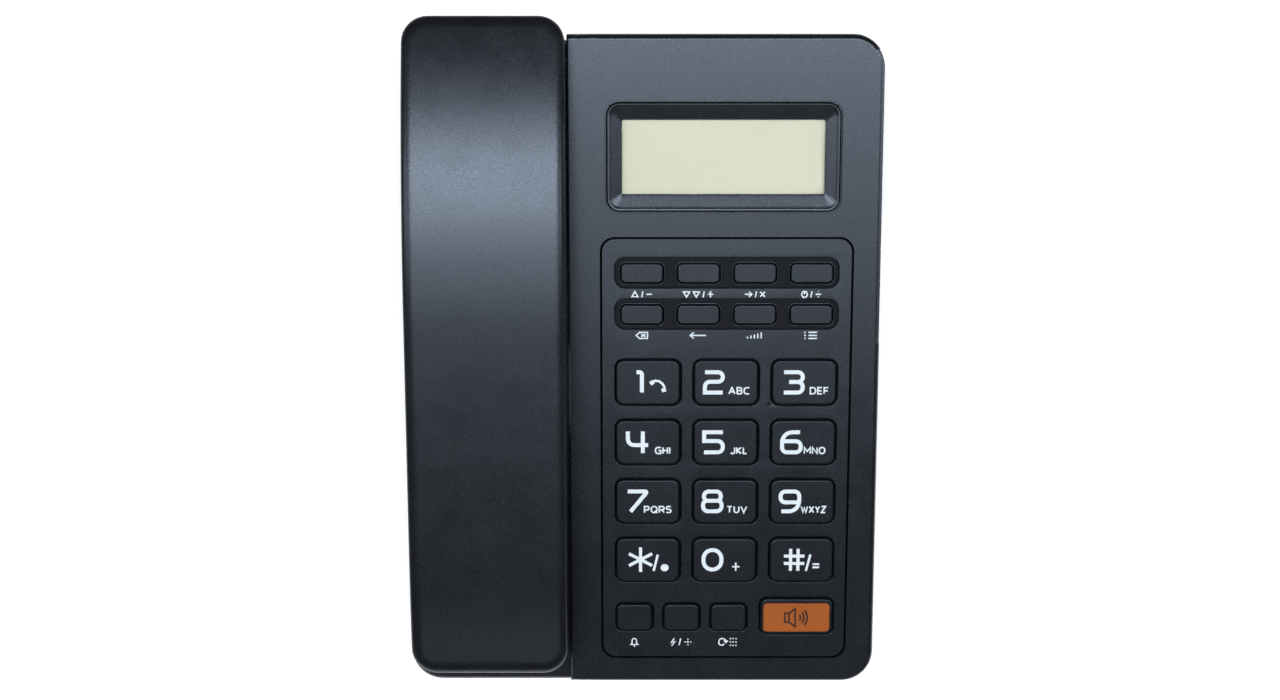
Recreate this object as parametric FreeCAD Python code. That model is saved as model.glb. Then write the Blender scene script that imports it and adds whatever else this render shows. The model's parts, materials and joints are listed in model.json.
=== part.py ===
import FreeCAD, Part
import math
import os
from collections import namedtuple

os.makedirs("parts", exist_ok=True)

Vector = FreeCAD.Vector

# A corded desk telephone with a display. The base is a wedge that stands on four feet.
# World frame: X to the right, Y to the rear, Z up, origin on the table under the middle of the whole.
# Face frame: x to the right, y up the sloped face from its front edge, z out of the face.

# Base housing
base_width = 150.3
base_length = 204.8
base_corner_radius = 10.0
base_draft_angle = 0.6
front_height = 22.0
face_angle = 11.0
foot_height = 2.0
cover_wall = 2.5
bottom_wall = 2.5
parting_height = 11.0
face_edge_radius = 1.8
cradle_lip_chamfer = 0.5
cradle_edge_chamfer = 0.7
bottom_edge_chamfer = 0.8
tongue_height = 1.5
tongue_inset = 1.35
tongue_clearance = 0.15

# Stepped edge along the rear part of the right side, measured up the face
step_start = 111.7
step_end = 203.0
step_width = 1.15
step_depth = 3.0

# Handset, measured up the face
handset_length = 206.5
handset_width = 49.15
handset_front_setback = 5.8
handset_left_border = 2.75
handset_back_height = 19.0
handset_corner_radius = 8.0
handset_back_radius = 2.2
handset_foot_chamfer = 0.8
handset_wall = 2.2
mouth_bend_length = 42.2
mouth_bend_radius = 310.0
ear_bend_start = 90.3
ear_bend_radius = 330.0
ear_bend_turn = 10.0
ear_tip_radius = 110.0
ear_tip_turn = 4.2
grip_rear_inset = 64.3
grip_front_inset = 50.2
grip_hollow_height = -0.2
shell_parting_ends = (5.5, 8.0, -2.5)
profile_run = 12.0

# Handset cups: distance of each cup's middle from its end of the handset, size and depth below the face
ear_cup_from_end = 37.3
ear_cup_length = 52.0
ear_cup_depth = 19.7
mouth_cup_from_end = 24.2
mouth_cup_length = 40.0
mouth_cup_depth = 11.2
cup_side_inset = 2.55
cup_corner_radius = 7.0
cup_edge_chamfer = 1.2
ear_dish_radius = 240.0
ear_dish_depth = 1.0

# Cradle in the base
cradle_gap = 0.55
cradle_wall_gap = 0.35
cradle_floor_front = 5.0
cradle_floor_slope = 2.5
cup_seat_gap = 0.3
cup_side_gap = 0.6
well_wall = 2.0
roll_off_width = 10.8
roll_off_radius = 150.0

# Keypad panel, set flush in the face
panel_right_border = 9.1
panel_front_border = 8.0
panel_length = 137.5
panel_thickness = 1.5
panel_corner_radius = 4.5
panel_groove = 0.4
panel_ledge = 3.0
panel_edge_chamfer = 0.25

# Keys
key_gap = 0.5
key_chamfer = 0.35
key_top_height = 1.5
key_travel = 1.5
key_flange_width = 1.0
key_flange_thickness = 1.2
key_flange_gap = 0.4
key_stem_inset = 2.6
dial_key_width = 19.85
dial_key_length = 14.0
dial_key_radius = 2.4
dial_gap_across = 4.7
dial_gap_along = 5.35
dial_margin = 5.05
dial_front_border = 26.65
nib_radius = 0.45
nib_shift = 6.3
nib_rise = 3.5
nib_height = 0.25
function_key_length = 5.9
function_key_radius = 1.5
function_key_top = 0.9
function_key_gap = 4.67
function_side_margin = 6.6
function_pitch_along = 13.05
function_front_border = 110.25
small_key_length = 8.5
small_key_radius = 1.7
small_key_gap = 4.1
small_left_margin = 5.15
small_to_speaker_gap = 4.95
small_front_border = 10.1
speaker_key_width = 22.9
speaker_key_length = 11.5
speaker_key_radius = 2.0
speaker_right_margin = 4.75
speaker_front_border = 8.95
speaker_face_border = 0.75
speaker_face_shift = 0.35
speaker_face_top = 0.25
speaker_face_sink = 0.8
speaker_face_gap = 0.05

# Dark strips that carry the function keys
strip_length = 9.8
strip_radius = 3.3
strip_side_margin = 2.1
strip_depth = 0.9
strip_thickness = 1.6
strip_gap = 0.1
strip_flange = 1.4
strip_rim_width = 0.4
strip_rim_sink = 0.15
strip_key_gap = 0.3

# Display
bezel_width = 73.15
bezel_length = 34.65
bezel_radius = 4.2
bezel_right_border = 13.35
bezel_from_panel = 7.3
bezel_lip = 0.85
bezel_lip_chamfer = 0.3
bezel_flange_thickness = 1.5
bezel_flange = 1.8
window_width = 62.6
window_length = 22.9
window_radius = 0.8
window_depth = 1.0
bezel_floor = 1.0
pane_border = 1.6
pane_thickness = 1.0
display_panel_border = 2.6

# Circuit board, key mat and what they carry
board_thickness = 1.6
mat_thickness = 1.2
mat_margin = 1.5
key_stop_gap = 0.3
dome_height = 1.8
dome_top_width = 3.2
dome_foot_width = 4.6
board_front_inset = 6.0
board_rear_run = 2.5
board_side_gap = 2.6
post_half_width = 2.0
post_row_count = 4
post_end_inset = 5.0
microphone_right_inset = 26.05
microphone_y = 92.2
microphone_hole_radius = 0.5
microphone_radius = 3.0
microphone_height = 2.7
microphone_gap = 0.75

# Hook
plunger_x = -60.0
plunger_from_cup_front = 7.5
plunger_radius = 2.6
plunger_gap = 0.15
plunger_travel = 4.5
guide_length = 7.5
guide_wall = 1.8
collar_half_width = 3.8
collar_thickness = 1.2
collar_end_gap = 0.2
hook_spring_wire = 0.5
hook_spring_gap = 0.35
hook_spring_length = 5.0
hook_board_width = 26.0
hook_board_length = 18.0
hook_board_shift = 4.0
hook_post_inset = 3.0
switch_width = 8.0
switch_length = 6.4
switch_gap = 0.2
switch_shift = 9.2
collar_arm_length = 10.0
plunger_pin_radius = 1.5
plunger_pin_length = 2.4
plunger_chamfer = 0.5

# Base screws and feet
boss_side_room = 3.5
boss_end_room = 1.7
boss_half_width = 3.6
screw_radius = 1.5
screw_length = 11.0
screw_head_radius = 2.8
screw_gap = 0.1
screw_recess_gap = 0.5
screw_seat_thickness = 1.5
screw_pad_height = 2.0
screw_pad_half_width = 4.8
foot_width = 16.0
foot_length = 10.0
foot_recess = 1.0
foot_gap = 0.2
foot_chamfer = 0.5
foot_side_inset = 18.0
foot_front_inset = 20.0
foot_rear_inset = 20.0

# Battery bay, open below, closed by a door that slides off to the rear
cell_radius = 5.15
cell_length = 44.5
cell_nub_radius = 1.9
cell_nub_length = 0.8
cell_gap = 1.0
cell_count = 3
bay_end_room = 3.5
bay_side_room = 1.1
bay_wall = 1.6
bay_rear_gap = 4.0
bay_roof_gap = 1.2
door_thickness = 1.85
door_gap = 0.15
door_overlap = 2.4
door_tongue_width = 1.2
door_tongue_thickness = 1.05
door_pad_height = 1.0
door_grip_count = 4
door_grip_inset = 6.0
door_grip_pitch = 3.0
door_grip_length = 16.0
door_grip_width = 1.4
door_grip_depth = 0.5
contact_plate = 0.5
contact_size = 8.6
contact_stub = 3.6

# Loudspeaker and its grille in the bottom cover
speaker_x = 38.0
speaker_from_front = 90.2
speaker_radius = 20.0
speaker_rim_height = 3.0
speaker_basket_height = 9.0
speaker_magnet_radius = 11.0
speaker_magnet_height = 5.0
speaker_ring_wall = 1.6
speaker_ring_gap = 0.4
speaker_ring_height = 4.0
grille_radius = 15.5
grille_slot_width = 2.0
grille_slot_pitch = 4.0

# Sockets
line_socket_x = 47.0
handset_socket_from_front = 60.2
socket_wall = 1.8
socket_recess = 0.9
socket_opening_gap = 0.2
rib_wall = 1.4
socket_rib_height = 6.0
line_plug = (9.9, 7.0)
handset_plug = (7.9, 6.9)
plug_depth = 12.0
plug_latch = (3.6, 1.6)
handset_jack_bottom = -1.8
handset_jack_recess = 2.2

# Inside the handset
receiver_radius = 17.5
receiver_height = 8.0
receiver_rib_width = 1.4
receiver_rib_gap = 0.3
receiver_rib_height = 5.0
receiver_shift = 3.2
ear_slot_lengths = (9.0, 14.0, 16.0, 14.0, 9.0)
mouth_slot_lengths = (5.0, 7.0, 5.0)
sound_slot_width = 1.2
sound_slot_pitch = 2.8
receiver_rib_length = 6.0
capsule_radius = 4.85
capsule_height = 5.0
boot_wall = 1.6
microphone_shift = 4.0
weight_width = 24.0
weight_end_room = 9.0
weight_height = 6.0
handset_screw_radius = 1.3
handset_screw_head_radius = 2.4
handset_screw_length = 14.0
handset_boss_half_width = 3.0
handset_tube_wall = 1.2
handset_screw_gap = 0.1
handset_head_gap = 0.2
handset_seat_thickness = 1.5
handset_tube_top = -4.0
handset_screw_inset = 5.6

# Small round holes and pins are drawn with this many flats, larger inner pieces with more
small_round_sides = 10
large_round_sides = 20

# A straight cut this share of a round's radius touches the round at its middle
cut_for_radius = 2 - math.sqrt(2)

# Derived places
base_underside = foot_height
floor_top = base_underside + bottom_wall
reach = 300.0
housing_over = 100.0
cut_over = 30.0
slope_cos = math.cos(math.radians(face_angle))
handset_rear = handset_front_setback + handset_length
handset_overhang = handset_rear * slope_cos - base_length
overall_length = base_length + max(handset_overhang, 0)
front_y = -overall_length / 2
rear_y = front_y + base_length
face_placement = FreeCAD.Placement(
    Vector(0, front_y, front_height), FreeCAD.Rotation(Vector(1, 0, 0), face_angle)
)
speaker_y = front_y + speaker_from_front
handset_socket_y = front_y + handset_socket_from_front
handset_x = -base_width / 2 + handset_left_border + handset_width / 2
cradle_wall_x = handset_x + handset_width / 2 + cradle_wall_gap

Outline = namedtuple("Outline", "x y width length radius")

ear_cup = Outline(
    handset_x,
    handset_rear - ear_cup_from_end,
    handset_width - 2 * cup_side_inset,
    ear_cup_length,
    cup_corner_radius,
)
mouth_cup = Outline(
    handset_x,
    handset_front_setback + mouth_cup_from_end,
    handset_width - 2 * cup_side_inset,
    mouth_cup_length,
    cup_corner_radius,
)
ear_well_floor = -ear_cup_depth - cup_seat_gap
mouth_well_floor = -mouth_cup_depth - cup_seat_gap

panel_width = 3 * dial_key_width + 2 * dial_gap_across + 2 * dial_margin
panel = Outline(
    base_width / 2 - panel_right_border - panel_width / 2,
    panel_front_border + panel_length / 2,
    panel_width,
    panel_length,
    panel_corner_radius,
)
panel_left = panel.x - panel_width / 2
panel_right = panel.x + panel_width / 2

function_room = panel_width - 2 * function_side_margin - 3 * function_key_gap
function_key_width = function_room / 4
small_room = panel_width - small_left_margin - 2 * small_key_gap - small_to_speaker_gap
small_key_width = (small_room - speaker_key_width - speaker_right_margin) / 3

bezel = Outline(
    base_width / 2 - bezel_right_border - bezel_width / 2,
    panel_front_border + panel_length + bezel_from_panel + bezel_length / 2,
    bezel_width,
    bezel_length,
    bezel_radius,
)
window = Outline(bezel.x, bezel.y, window_width, window_length, window_radius)
pane_top = -window_depth - bezel_floor

board_front = panel_front_border + board_front_inset
board_rear = bezel.y + bezel_length / 2 + board_rear_run

mat_top = -panel_thickness - strip_thickness - key_travel - key_stop_gap - dome_height
dome_top = mat_top + dome_height
board_top = mat_top - mat_thickness
board_bottom = board_top - board_thickness

microphone_x = panel_right - microphone_right_inset
plunger_y = ear_cup.y - ear_cup_length / 2 + plunger_from_cup_front
plunger_top = ear_well_floor + cup_seat_gap - switch_gap
guide_end = ear_well_floor - guide_length
collar_top = guide_end - plunger_travel - collar_end_gap
collar_bottom = collar_top - collar_thickness
hook_board_top = collar_bottom - hook_spring_length
hook_board_bottom = hook_board_top - board_thickness
hook_board_x = plunger_x + hook_board_shift

cell_pitch = 2 * cell_radius + cell_gap
bay_length = cell_count * cell_pitch + bay_side_room
bay_half_width = cell_length / 2 + bay_end_room
bay_rear_y = rear_y - cover_wall - bay_rear_gap
bay_front_y = bay_rear_y - bay_length
door_half_width = bay_half_width + door_overlap
door_front_y = bay_front_y - door_overlap
door_top = base_underside + door_thickness
cell_z = door_top + door_gap + cell_radius
bay_roof = cell_z + cell_radius + bay_roof_gap

Key = namedtuple("Key", "outline top flange_top gap")


def cradle_floor(y):
    """Height of the cradle floor in the face frame, y up the face."""
    return -cradle_floor_front - (y - panel_front_border) * math.tan(
        math.radians(cradle_floor_slope)
    )


def grown(outline, by):
    return Outline(
        outline.x,
        outline.y,
        outline.width + 2 * by,
        outline.length + 2 * by,
        max(outline.radius + by, 0.2),
    )


def rounded_wire(outline, z):
    """A rectangle with round corners at height z."""
    across = outline.width / 2 - outline.radius
    along = outline.length / 2 - outline.radius
    corners = ((across, along), (-across, along), (-across, -along), (across, -along))
    arcs = []
    for quarter, (x, y) in enumerate(corners):
        centre = Vector(outline.x + x, outline.y + y, z)
        start = quarter * math.pi / 2
        circle = Part.Circle(centre, Vector(0, 0, 1), outline.radius)
        arcs.append(circle.toShape(start, start + math.pi / 2))
    edges = []
    for number, arc in enumerate(arcs):
        follower = arcs[(number + 1) % 4]
        edges.append(arc)
        edges.append(
            Part.makeLine(
                arc.valueAt(arc.LastParameter), follower.valueAt(follower.FirstParameter)
            )
        )
    return Part.Wire(edges)


def plate(outline, z_low, z_high):
    return Part.Face(rounded_wire(outline, z_low)).extrude(Vector(0, 0, z_high - z_low))


def cut_corners(outline, z):
    """Corners of a rectangle whose rounds are cut straight, each cut touching its round."""
    cut = outline.radius * cut_for_radius
    across, along = outline.width / 2, outline.length / 2
    points = []
    for x, y in ((1, 1), (-1, 1), (-1, -1), (1, -1)):
        first = Vector(outline.x + x * across, outline.y + y * (along - cut), z)
        second = Vector(outline.x + x * (across - cut), outline.y + y * along, z)
        points += [first, second] if x * y > 0 else [second, first]
    return points


def cut_plate(outline, z_low, z_high):
    """A plate with corners cut straight."""
    wire = polygon(cut_corners(outline, z_low))
    return Part.Face(wire).extrude(Vector(0, 0, z_high - z_low))


def box_plate(outline, z_low, z_high):
    """A plate with sharp corners."""
    return block(
        outline.x - outline.width / 2,
        outline.x + outline.width / 2,
        outline.y - outline.length / 2,
        outline.y + outline.length / 2,
        z_low,
        z_high,
    )


def block(x_low, x_high, y_low, y_high, z_low, z_high):
    return Part.makeBox(
        x_high - x_low, y_high - y_low, z_high - z_low, Vector(x_low, y_low, z_low)
    )


def flats_ring(x, y, z, radius, sides):
    """Corners of a ring of flats that touch the radius."""
    corner = radius / math.cos(math.pi / sides)
    turn = 2 * math.pi / sides
    return [
        Vector(
            x + corner * math.cos(turn * (number + 0.5)),
            y + corner * math.sin(turn * (number + 0.5)),
            z,
        )
        for number in range(sides)
    ]


def few_sided(x, y, radius, z_low, z_high, sides=small_round_sides):
    """A small round hole or pin drawn with few flats, which touch the radius."""
    ring = flats_ring(x, y, z_low, radius, sides)
    return Part.Face(polygon(ring)).extrude(Vector(0, 0, z_high - z_low))


def flat_sided(rings):
    """A solid through rings with as many corners each, closed by the first and the last."""
    faces = [Part.Face(polygon(rings[0])), Part.Face(polygon(rings[-1]))]
    for lower, upper in zip(rings, rings[1:]):
        for number in range(len(lower)):
            follower = (number + 1) % len(lower)
            corners = [lower[number], lower[follower], upper[follower], upper[number]]
            faces.append(Part.Face(polygon(corners)))
    solid = Part.Solid(Part.Shell(faces))
    if solid.Volume < 0:
        solid.reverse()
    return solid


def square_post(x, y, half, z_low, z_high):
    return block(x - half, x + half, y - half, y + half, z_low, z_high)


def joined(shapes):
    """Several overlapping or touching shapes as one."""
    shapes = list(shapes)
    whole = shapes[0]
    if len(shapes) > 1:
        whole = whole.multiFuse(shapes[1:])
    return whole.removeSplitter()


def together(shapes):
    """Several separate solids that make up one node."""
    return Part.Compound([solid for shape in shapes for solid in shape.Solids])


def out_of_face(shape):
    """A shape drawn in the face frame, put into the world frame."""
    placed = shape.copy()
    placed.Placement = face_placement.multiply(placed.Placement)
    return placed


def edges_at_height(shape, z):
    return [
        edge
        for edge in shape.Edges
        if abs(edge.BoundBox.ZMin - z) < 0.001 and abs(edge.BoundBox.ZMax - z) < 0.001
    ]


def side_prism(points_or_edges, x_low, x_high):
    """A profile drawn across x, extruded from x_low to x_high."""
    wire = Part.Wire(points_or_edges)
    wire.translate(Vector(x_low, 0, 0))
    return Part.Face(wire).extrude(Vector(x_high - x_low, 0, 0))


def polygon(points):
    return Part.makePolygon(points + points[:1])


# Base housing


def footprint_block(inset, z_low, z_high):
    """The base's footprint as a block with drafted sides, inset from the outer wall."""
    lean = math.tan(math.radians(base_draft_angle))
    low = inset + lean * (z_low - base_underside)
    high = inset + lean * (z_high - base_underside)
    half = base_width / 2
    wedge = Part.makeWedge(
        -half + low,
        z_low,
        -rear_y + low,
        -rear_y + high,
        -half + high,
        half - low,
        z_high,
        -front_y - low,
        -front_y - high,
        half - high,
    )
    wedge.rotate(Vector(0, 0, 0), Vector(1, 0, 0), 90)
    corners = [
        edge for edge in wedge.Edges if edge.BoundBox.ZLength > (z_high - z_low) / 2
    ]
    return wedge.makeFillet(base_corner_radius - inset, corners)


def face_side(wall, z_low):
    """The base right of the cradle wall, under the face, wall inside its outer surface."""
    left = cradle_wall_x + wall
    roll_start = cradle_wall_x + roll_off_width
    radius = roll_off_radius - wall
    centre_z = -roll_off_radius

    def on_roll(x):
        return Vector(x, -reach, centre_z + math.sqrt(radius**2 - (roll_start - x) ** 2))

    start = Vector(roll_start, -reach, -wall)
    end = on_roll(left)
    outline = [
        Part.makeLine(Vector(reach, -reach, -wall), start),
        Part.Arc(start, on_roll((left + roll_start) / 2), end).toShape(),
        Part.makeLine(end, Vector(left, -reach, -reach)),
        Part.makeLine(Vector(left, -reach, -reach), Vector(reach, -reach, -reach)),
        Part.makeLine(Vector(reach, -reach, -reach), Vector(reach, -reach, -wall)),
    ]
    prism = Part.Face(Part.Wire(outline)).extrude(Vector(0, 2 * reach, 0))
    return footprint_block(wall, z_low, housing_over).common(out_of_face(prism))


def cradle_side(wall, z_low):
    """The base under the cradle floor, up to a little past the cradle wall."""
    profile = polygon(
        [
            Vector(0, -reach, cradle_floor(-reach) - wall),
            Vector(0, reach, cradle_floor(reach) - wall),
            Vector(0, reach, -reach),
            Vector(0, -reach, -reach),
        ]
    )
    prism = side_prism(profile.Edges, -reach, cradle_wall_x + 2 * cover_wall)
    return footprint_block(wall, z_low, housing_over).common(out_of_face(prism))


def face_rim(solid):
    """Outer edges of the face side that the mould rounds."""
    back = face_placement.inverse()
    rim = []
    for edge in solid.Edges:
        points = [back.multVec(vertex.Point) for vertex in edge.Vertexes]
        at_top = all(abs(point.z) < 0.7 for point in points)
        smooth = all(
            abs(point.x - cradle_wall_x - roll_off_width) < 0.01 for point in points
        )
        at_cradle = all(abs(point.x - cradle_wall_x) < 0.01 for point in points)
        if at_top and not smooth and not at_cradle:
            rim.append(edge)
    return rim


def cradle_lip():
    """The sharp corner of the face side above the cradle wall, taken off at 45 degrees."""
    top = math.sqrt(roll_off_radius**2 - roll_off_width**2) - roll_off_radius
    low = top - cradle_lip_chamfer
    wedge = polygon(
        [
            Vector(cradle_wall_x - 1, -reach, low - 1),
            Vector(cradle_wall_x + 3, -reach, low + 3),
            Vector(cradle_wall_x - 1, -reach, low + 3),
        ]
    )
    return out_of_face(Part.Face(wedge).extrude(Vector(0, 2 * reach, 0)))


def cradle_rim(solid):
    """Outer edges of the cradle floor."""
    back = face_placement.inverse()
    rim = []
    for edge in solid.Edges:
        points = [back.multVec(vertex.Point) for vertex in edge.Vertexes]
        on_floor = all(abs(point.z - cradle_floor(point.y)) < 0.01 for point in points)
        inside = all(
            abs(point.x - cradle_wall_x - 2 * cover_wall) < 0.01 for point in points
        )
        if on_floor and not inside:
            rim.append(edge)
    return rim


def screw_places():
    """Base screws: x, y in the world frame."""
    across = base_width / 2 - cover_wall - boss_side_room - boss_half_width
    inset = cover_wall + boss_end_room + boss_half_width
    for x in (-across, across):
        for y in (front_y + inset, rear_y - inset):
            yield x, y


def foot_places():
    across = base_width / 2 - foot_side_inset
    for x in (-across, across):
        for y in (front_y + foot_front_inset, rear_y - foot_rear_inset):
            yield x, y


def board_post_places():
    """Posts that carry the main board, x and y in the face frame."""
    front = board_front + post_end_inset
    pitch = (board_rear - post_end_inset - front) / (post_row_count - 1)
    for x in (panel_left - board_side_gap, panel_right + board_side_gap):
        for row in range(post_row_count):
            yield x, front + row * pitch


def hook_post_places():
    for side in (-1, 1):
        for end in (-1, 1):
            yield (
                hook_board_x + side * (hook_board_width / 2 - hook_post_inset),
                plunger_y + end * (hook_board_length / 2 - hook_post_inset),
            )


def side_step():
    """What the stepped edge along the right side takes away."""
    zone = block(0, reach, step_start, step_end, -step_depth, cut_over)
    return out_of_face(zone).cut(footprint_block(step_width, 0, housing_over))


# Sockets, drawn with the mouth facing +x at x = 0 and standing on z = 0


def socket_height(plug):
    return plug[1] + plug_latch[1] + 2 * socket_wall


def socket_envelope(plug, gap, back, front):
    """The socket's block, grown sideways and upwards by gap, between two stations along x."""
    half = plug[0] / 2 + socket_wall + gap
    return block(-back, front, -half, half, 0, socket_height(plug) + gap)


def socket_body(plug):
    """A modular socket: a block with a plug-sized hollow and a narrower slot for the latch."""
    body = socket_envelope(plug, 0.0, plug_depth + socket_wall, 0.0)
    hollow_low = socket_wall + plug_latch[1]
    half = plug[0] / 2
    latch = plug_latch[0] / 2
    hollow = block(-plug_depth, 1, -half, half, hollow_low, hollow_low + plug[1])
    slot = block(-plug_depth, 1, -latch, latch, socket_wall, hollow_low + 1)
    return body.cut(hollow.fuse(slot))


def socket_notch(plug):
    """Opening in the housing wall round a socket."""
    return socket_envelope(plug, socket_opening_gap, plug_depth / 2, 2 * cover_wall)


def socket_ribs(plug):
    """Ribs on the bottom cover's floor that hold a socket at its sides and back."""
    back = plug_depth + socket_wall + socket_opening_gap
    outer = socket_envelope(plug, socket_opening_gap + rib_wall, back + rib_wall, 0.0)
    inner = socket_envelope(plug, socket_opening_gap, back, 2 * cover_wall)
    low = block(-reach, -cover_wall, -reach, reach, 0, socket_rib_height)
    return outer.common(low).cut(inner)


def at_rear_wall(shape):
    placed = shape.copy()
    placed.rotate(Vector(0, 0, 0), Vector(0, 0, 1), 90)
    placed.translate(Vector(line_socket_x, rear_y - socket_recess, floor_top))
    return placed


def at_left_wall(shape):
    placed = shape.copy()
    placed.rotate(Vector(0, 0, 0), Vector(0, 0, 1), 180)
    placed.translate(
        Vector(-base_width / 2 + socket_recess, handset_socket_y, floor_top)
    )
    return placed


def at_handset_front(shape):
    placed = shape.copy()
    placed.rotate(Vector(0, 0, 0), Vector(0, 0, 1), -90)
    placed.translate(
        Vector(
            handset_x, handset_front_setback + handset_jack_recess, handset_jack_bottom
        )
    )
    return placed


# Keys, all in the face frame


def dial_outline(column, row):
    """Row 0 is the front row, column 0 is the left column."""
    x = panel_left + dial_margin + dial_key_width / 2
    y = panel_front_border + dial_front_border + dial_key_length / 2
    return Outline(
        x + column * (dial_key_width + dial_gap_across),
        y + row * (dial_key_length + dial_gap_along),
        dial_key_width,
        dial_key_length,
        dial_key_radius,
    )


def function_outline(column, row):
    first = panel_left + function_side_margin + function_key_width / 2
    return Outline(
        first + column * (function_key_width + function_key_gap),
        panel_front_border
        + function_front_border
        + function_key_length / 2
        + row * function_pitch_along,
        function_key_width,
        function_key_length,
        function_key_radius,
    )


def small_outline(column):
    first = panel_left + small_left_margin + small_key_width / 2
    return Outline(
        first + column * (small_key_width + small_key_gap),
        panel_front_border + small_front_border + small_key_length / 2,
        small_key_width,
        small_key_length,
        small_key_radius,
    )


def speaker_outline():
    return Outline(
        panel_right - speaker_right_margin - speaker_key_width / 2,
        panel_front_border + speaker_front_border + speaker_key_length / 2,
        speaker_key_width,
        speaker_key_length,
        speaker_key_radius,
    )


def strip_outline(row):
    """The dark strip round one row of function keys."""
    first = function_outline(0, row)
    last = function_outline(3, row)
    width = last.x - first.x + function_key_width + 2 * strip_side_margin
    middle = (first.x + last.x) / 2
    return Outline(middle, first.y, width, strip_length, strip_radius)


def all_keys():
    """Every key by name."""
    panel_flange = -panel_thickness - key_flange_gap
    strip_flange_top = -strip_depth - strip_thickness - key_flange_gap
    keys = {}
    dial_rows = (
        ("key_star", "key_0", "key_hash"),
        ("key_7", "key_8", "key_9"),
        ("key_4", "key_5", "key_6"),
        ("key_1", "key_2", "key_3"),
    )
    for row, names in enumerate(dial_rows):
        for column, name in enumerate(names):
            keys[name] = Key(
                dial_outline(column, row), key_top_height, panel_flange, key_gap
            )
    function_rows = (
        ("key_delete", "key_back", "key_volume", "key_calls"),
        ("key_up", "key_down", "key_out", "key_set"),
    )
    for row, names in enumerate(function_rows):
        for column, name in enumerate(names):
            keys[name] = Key(
                function_outline(column, row),
                function_key_top,
                strip_flange_top,
                strip_key_gap,
            )
    for column, name in enumerate(("key_ring", "key_flash", "key_redial")):
        keys[name] = Key(small_outline(column), key_top_height, panel_flange, key_gap)
    keys["key_speaker"] = Key(
        speaker_outline(), key_top_height, panel_flange, key_gap
    )
    return keys


def key_cap(key):
    """One key: a cap with a flange under the panel and a stem down to its dome."""
    cap = cut_plate(key.outline, key.flange_top, key.top)
    cap = cap.makeChamfer(key_chamfer, edges_at_height(cap, key.top))
    flange_low = key.flange_top - key_flange_thickness
    flange = box_plate(grown(key.outline, key_flange_width), flange_low, key.flange_top)
    stem = key.outline._replace(
        width=key.outline.width - 2 * key_stem_inset,
        length=max(key.outline.length - 2 * key_stem_inset, dome_top_width),
    )
    return joined([cap, flange, box_plate(stem, dome_top, flange_low)])


def marked_key(key):
    """The middle dial key carries a small raised dot for the finger to find."""
    dot = few_sided(
        key.outline.x + nib_shift,
        key.outline.y + nib_rise,
        nib_radius,
        key.top - nib_height,
        key.top + nib_height,
    )
    return joined([key_cap(key), dot])


def speaker_face_outline():
    key = speaker_outline()
    shifted = key._replace(y=key.y - speaker_face_shift)
    trimmed = shifted._replace(length=key.length - speaker_face_shift)
    return grown(trimmed, -speaker_face_border)


def speaker_cap(key):
    recess = cut_plate(speaker_face_outline(), key.top - speaker_face_sink, cut_over)
    return key_cap(key).cut(recess)


def speaker_face(key):
    top = key.top + speaker_face_top
    face = cut_plate(
        grown(speaker_face_outline(), -speaker_face_gap),
        key.top - speaker_face_sink,
        top,
    )
    return face.makeChamfer(key_chamfer / 2, edges_at_height(face, top))


# Pieces set in the face


def keypad_panel(keys):
    sheet = plate(grown(panel, -panel_groove), -panel_thickness, 0)
    sheet = sheet.makeChamfer(panel_edge_chamfer, edges_at_height(sheet, 0))
    holes = [plate(strip_outline(row), -cut_over, cut_over) for row in (0, 1)]
    for name, key in keys.items():
        if key.gap == key_gap:
            around = grown(key.outline, key.gap)
            holes.append(cut_plate(around, -cut_over, cut_over))
    holes.append(
        few_sided(
            microphone_x, microphone_y, microphone_hole_radius, -cut_over, cut_over
        )
    )
    return sheet.cut(holes)


def key_strip(keys, row):
    """A sunk strip with a fine raised rim round each function key, flanged under the panel."""
    outline = strip_outline(row)
    sheet = plate(
        grown(outline, -strip_gap), -strip_depth - strip_thickness, -strip_depth
    )
    flange = box_plate(
        grown(outline, strip_flange), -strip_depth - strip_thickness, -panel_thickness
    )
    raised = [sheet, flange]
    holes = []
    for key in keys.values():
        if key.gap == strip_key_gap and abs(key.outline.y - outline.y) < 0.01:
            around = grown(key.outline, strip_key_gap)
            rim = grown(around, strip_rim_width)
            raised.append(cut_plate(rim, -strip_depth, -strip_rim_sink))
            holes.append(cut_plate(around, -cut_over, cut_over))
    return joined(raised).cut(holes)


def display_bezel():
    """A flanged frame with four walls that slope in to the window."""
    body = grown(bezel, -panel_groove)
    flange = plate(body, -bezel_flange_thickness, 0)
    frame = box_plate(grown(bezel, -bezel_flange), pane_top, -bezel_flange_thickness)
    whole = joined([flange, frame])
    whole = whole.makeChamfer(bezel_lip_chamfer, edges_at_height(whole, 0))
    mouth = grown(body, -bezel_lip)
    funnel = flat_sided([cut_corners(mouth, 0), cut_corners(window, -window_depth)])
    opening = cut_plate(window, pane_top, -window_depth)
    return whole.cut(funnel).cut(opening)


def display_window():
    return box_plate(grown(window, pane_border), pane_top - pane_thickness, pane_top)


def display_panel():
    outline = grown(window, display_panel_border)
    return box_plate(outline, board_top, pane_top - pane_thickness)


# Board, key mat, microphone


def main_board():
    """The board rests against the ends of its posts."""
    left = panel_left - board_side_gap - post_half_width
    right = panel_right + board_side_gap + post_half_width
    return block(left, right, board_front, board_rear, board_bottom, board_top)


def dome(key):
    """One tapered dome of the key mat."""
    x, y = key.outline.x, key.outline.y
    foot = flats_ring(x, y, mat_top, dome_foot_width / 2, 4)
    return flat_sided([foot, flats_ring(x, y, dome_top, dome_top_width / 2, 4)])


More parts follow.
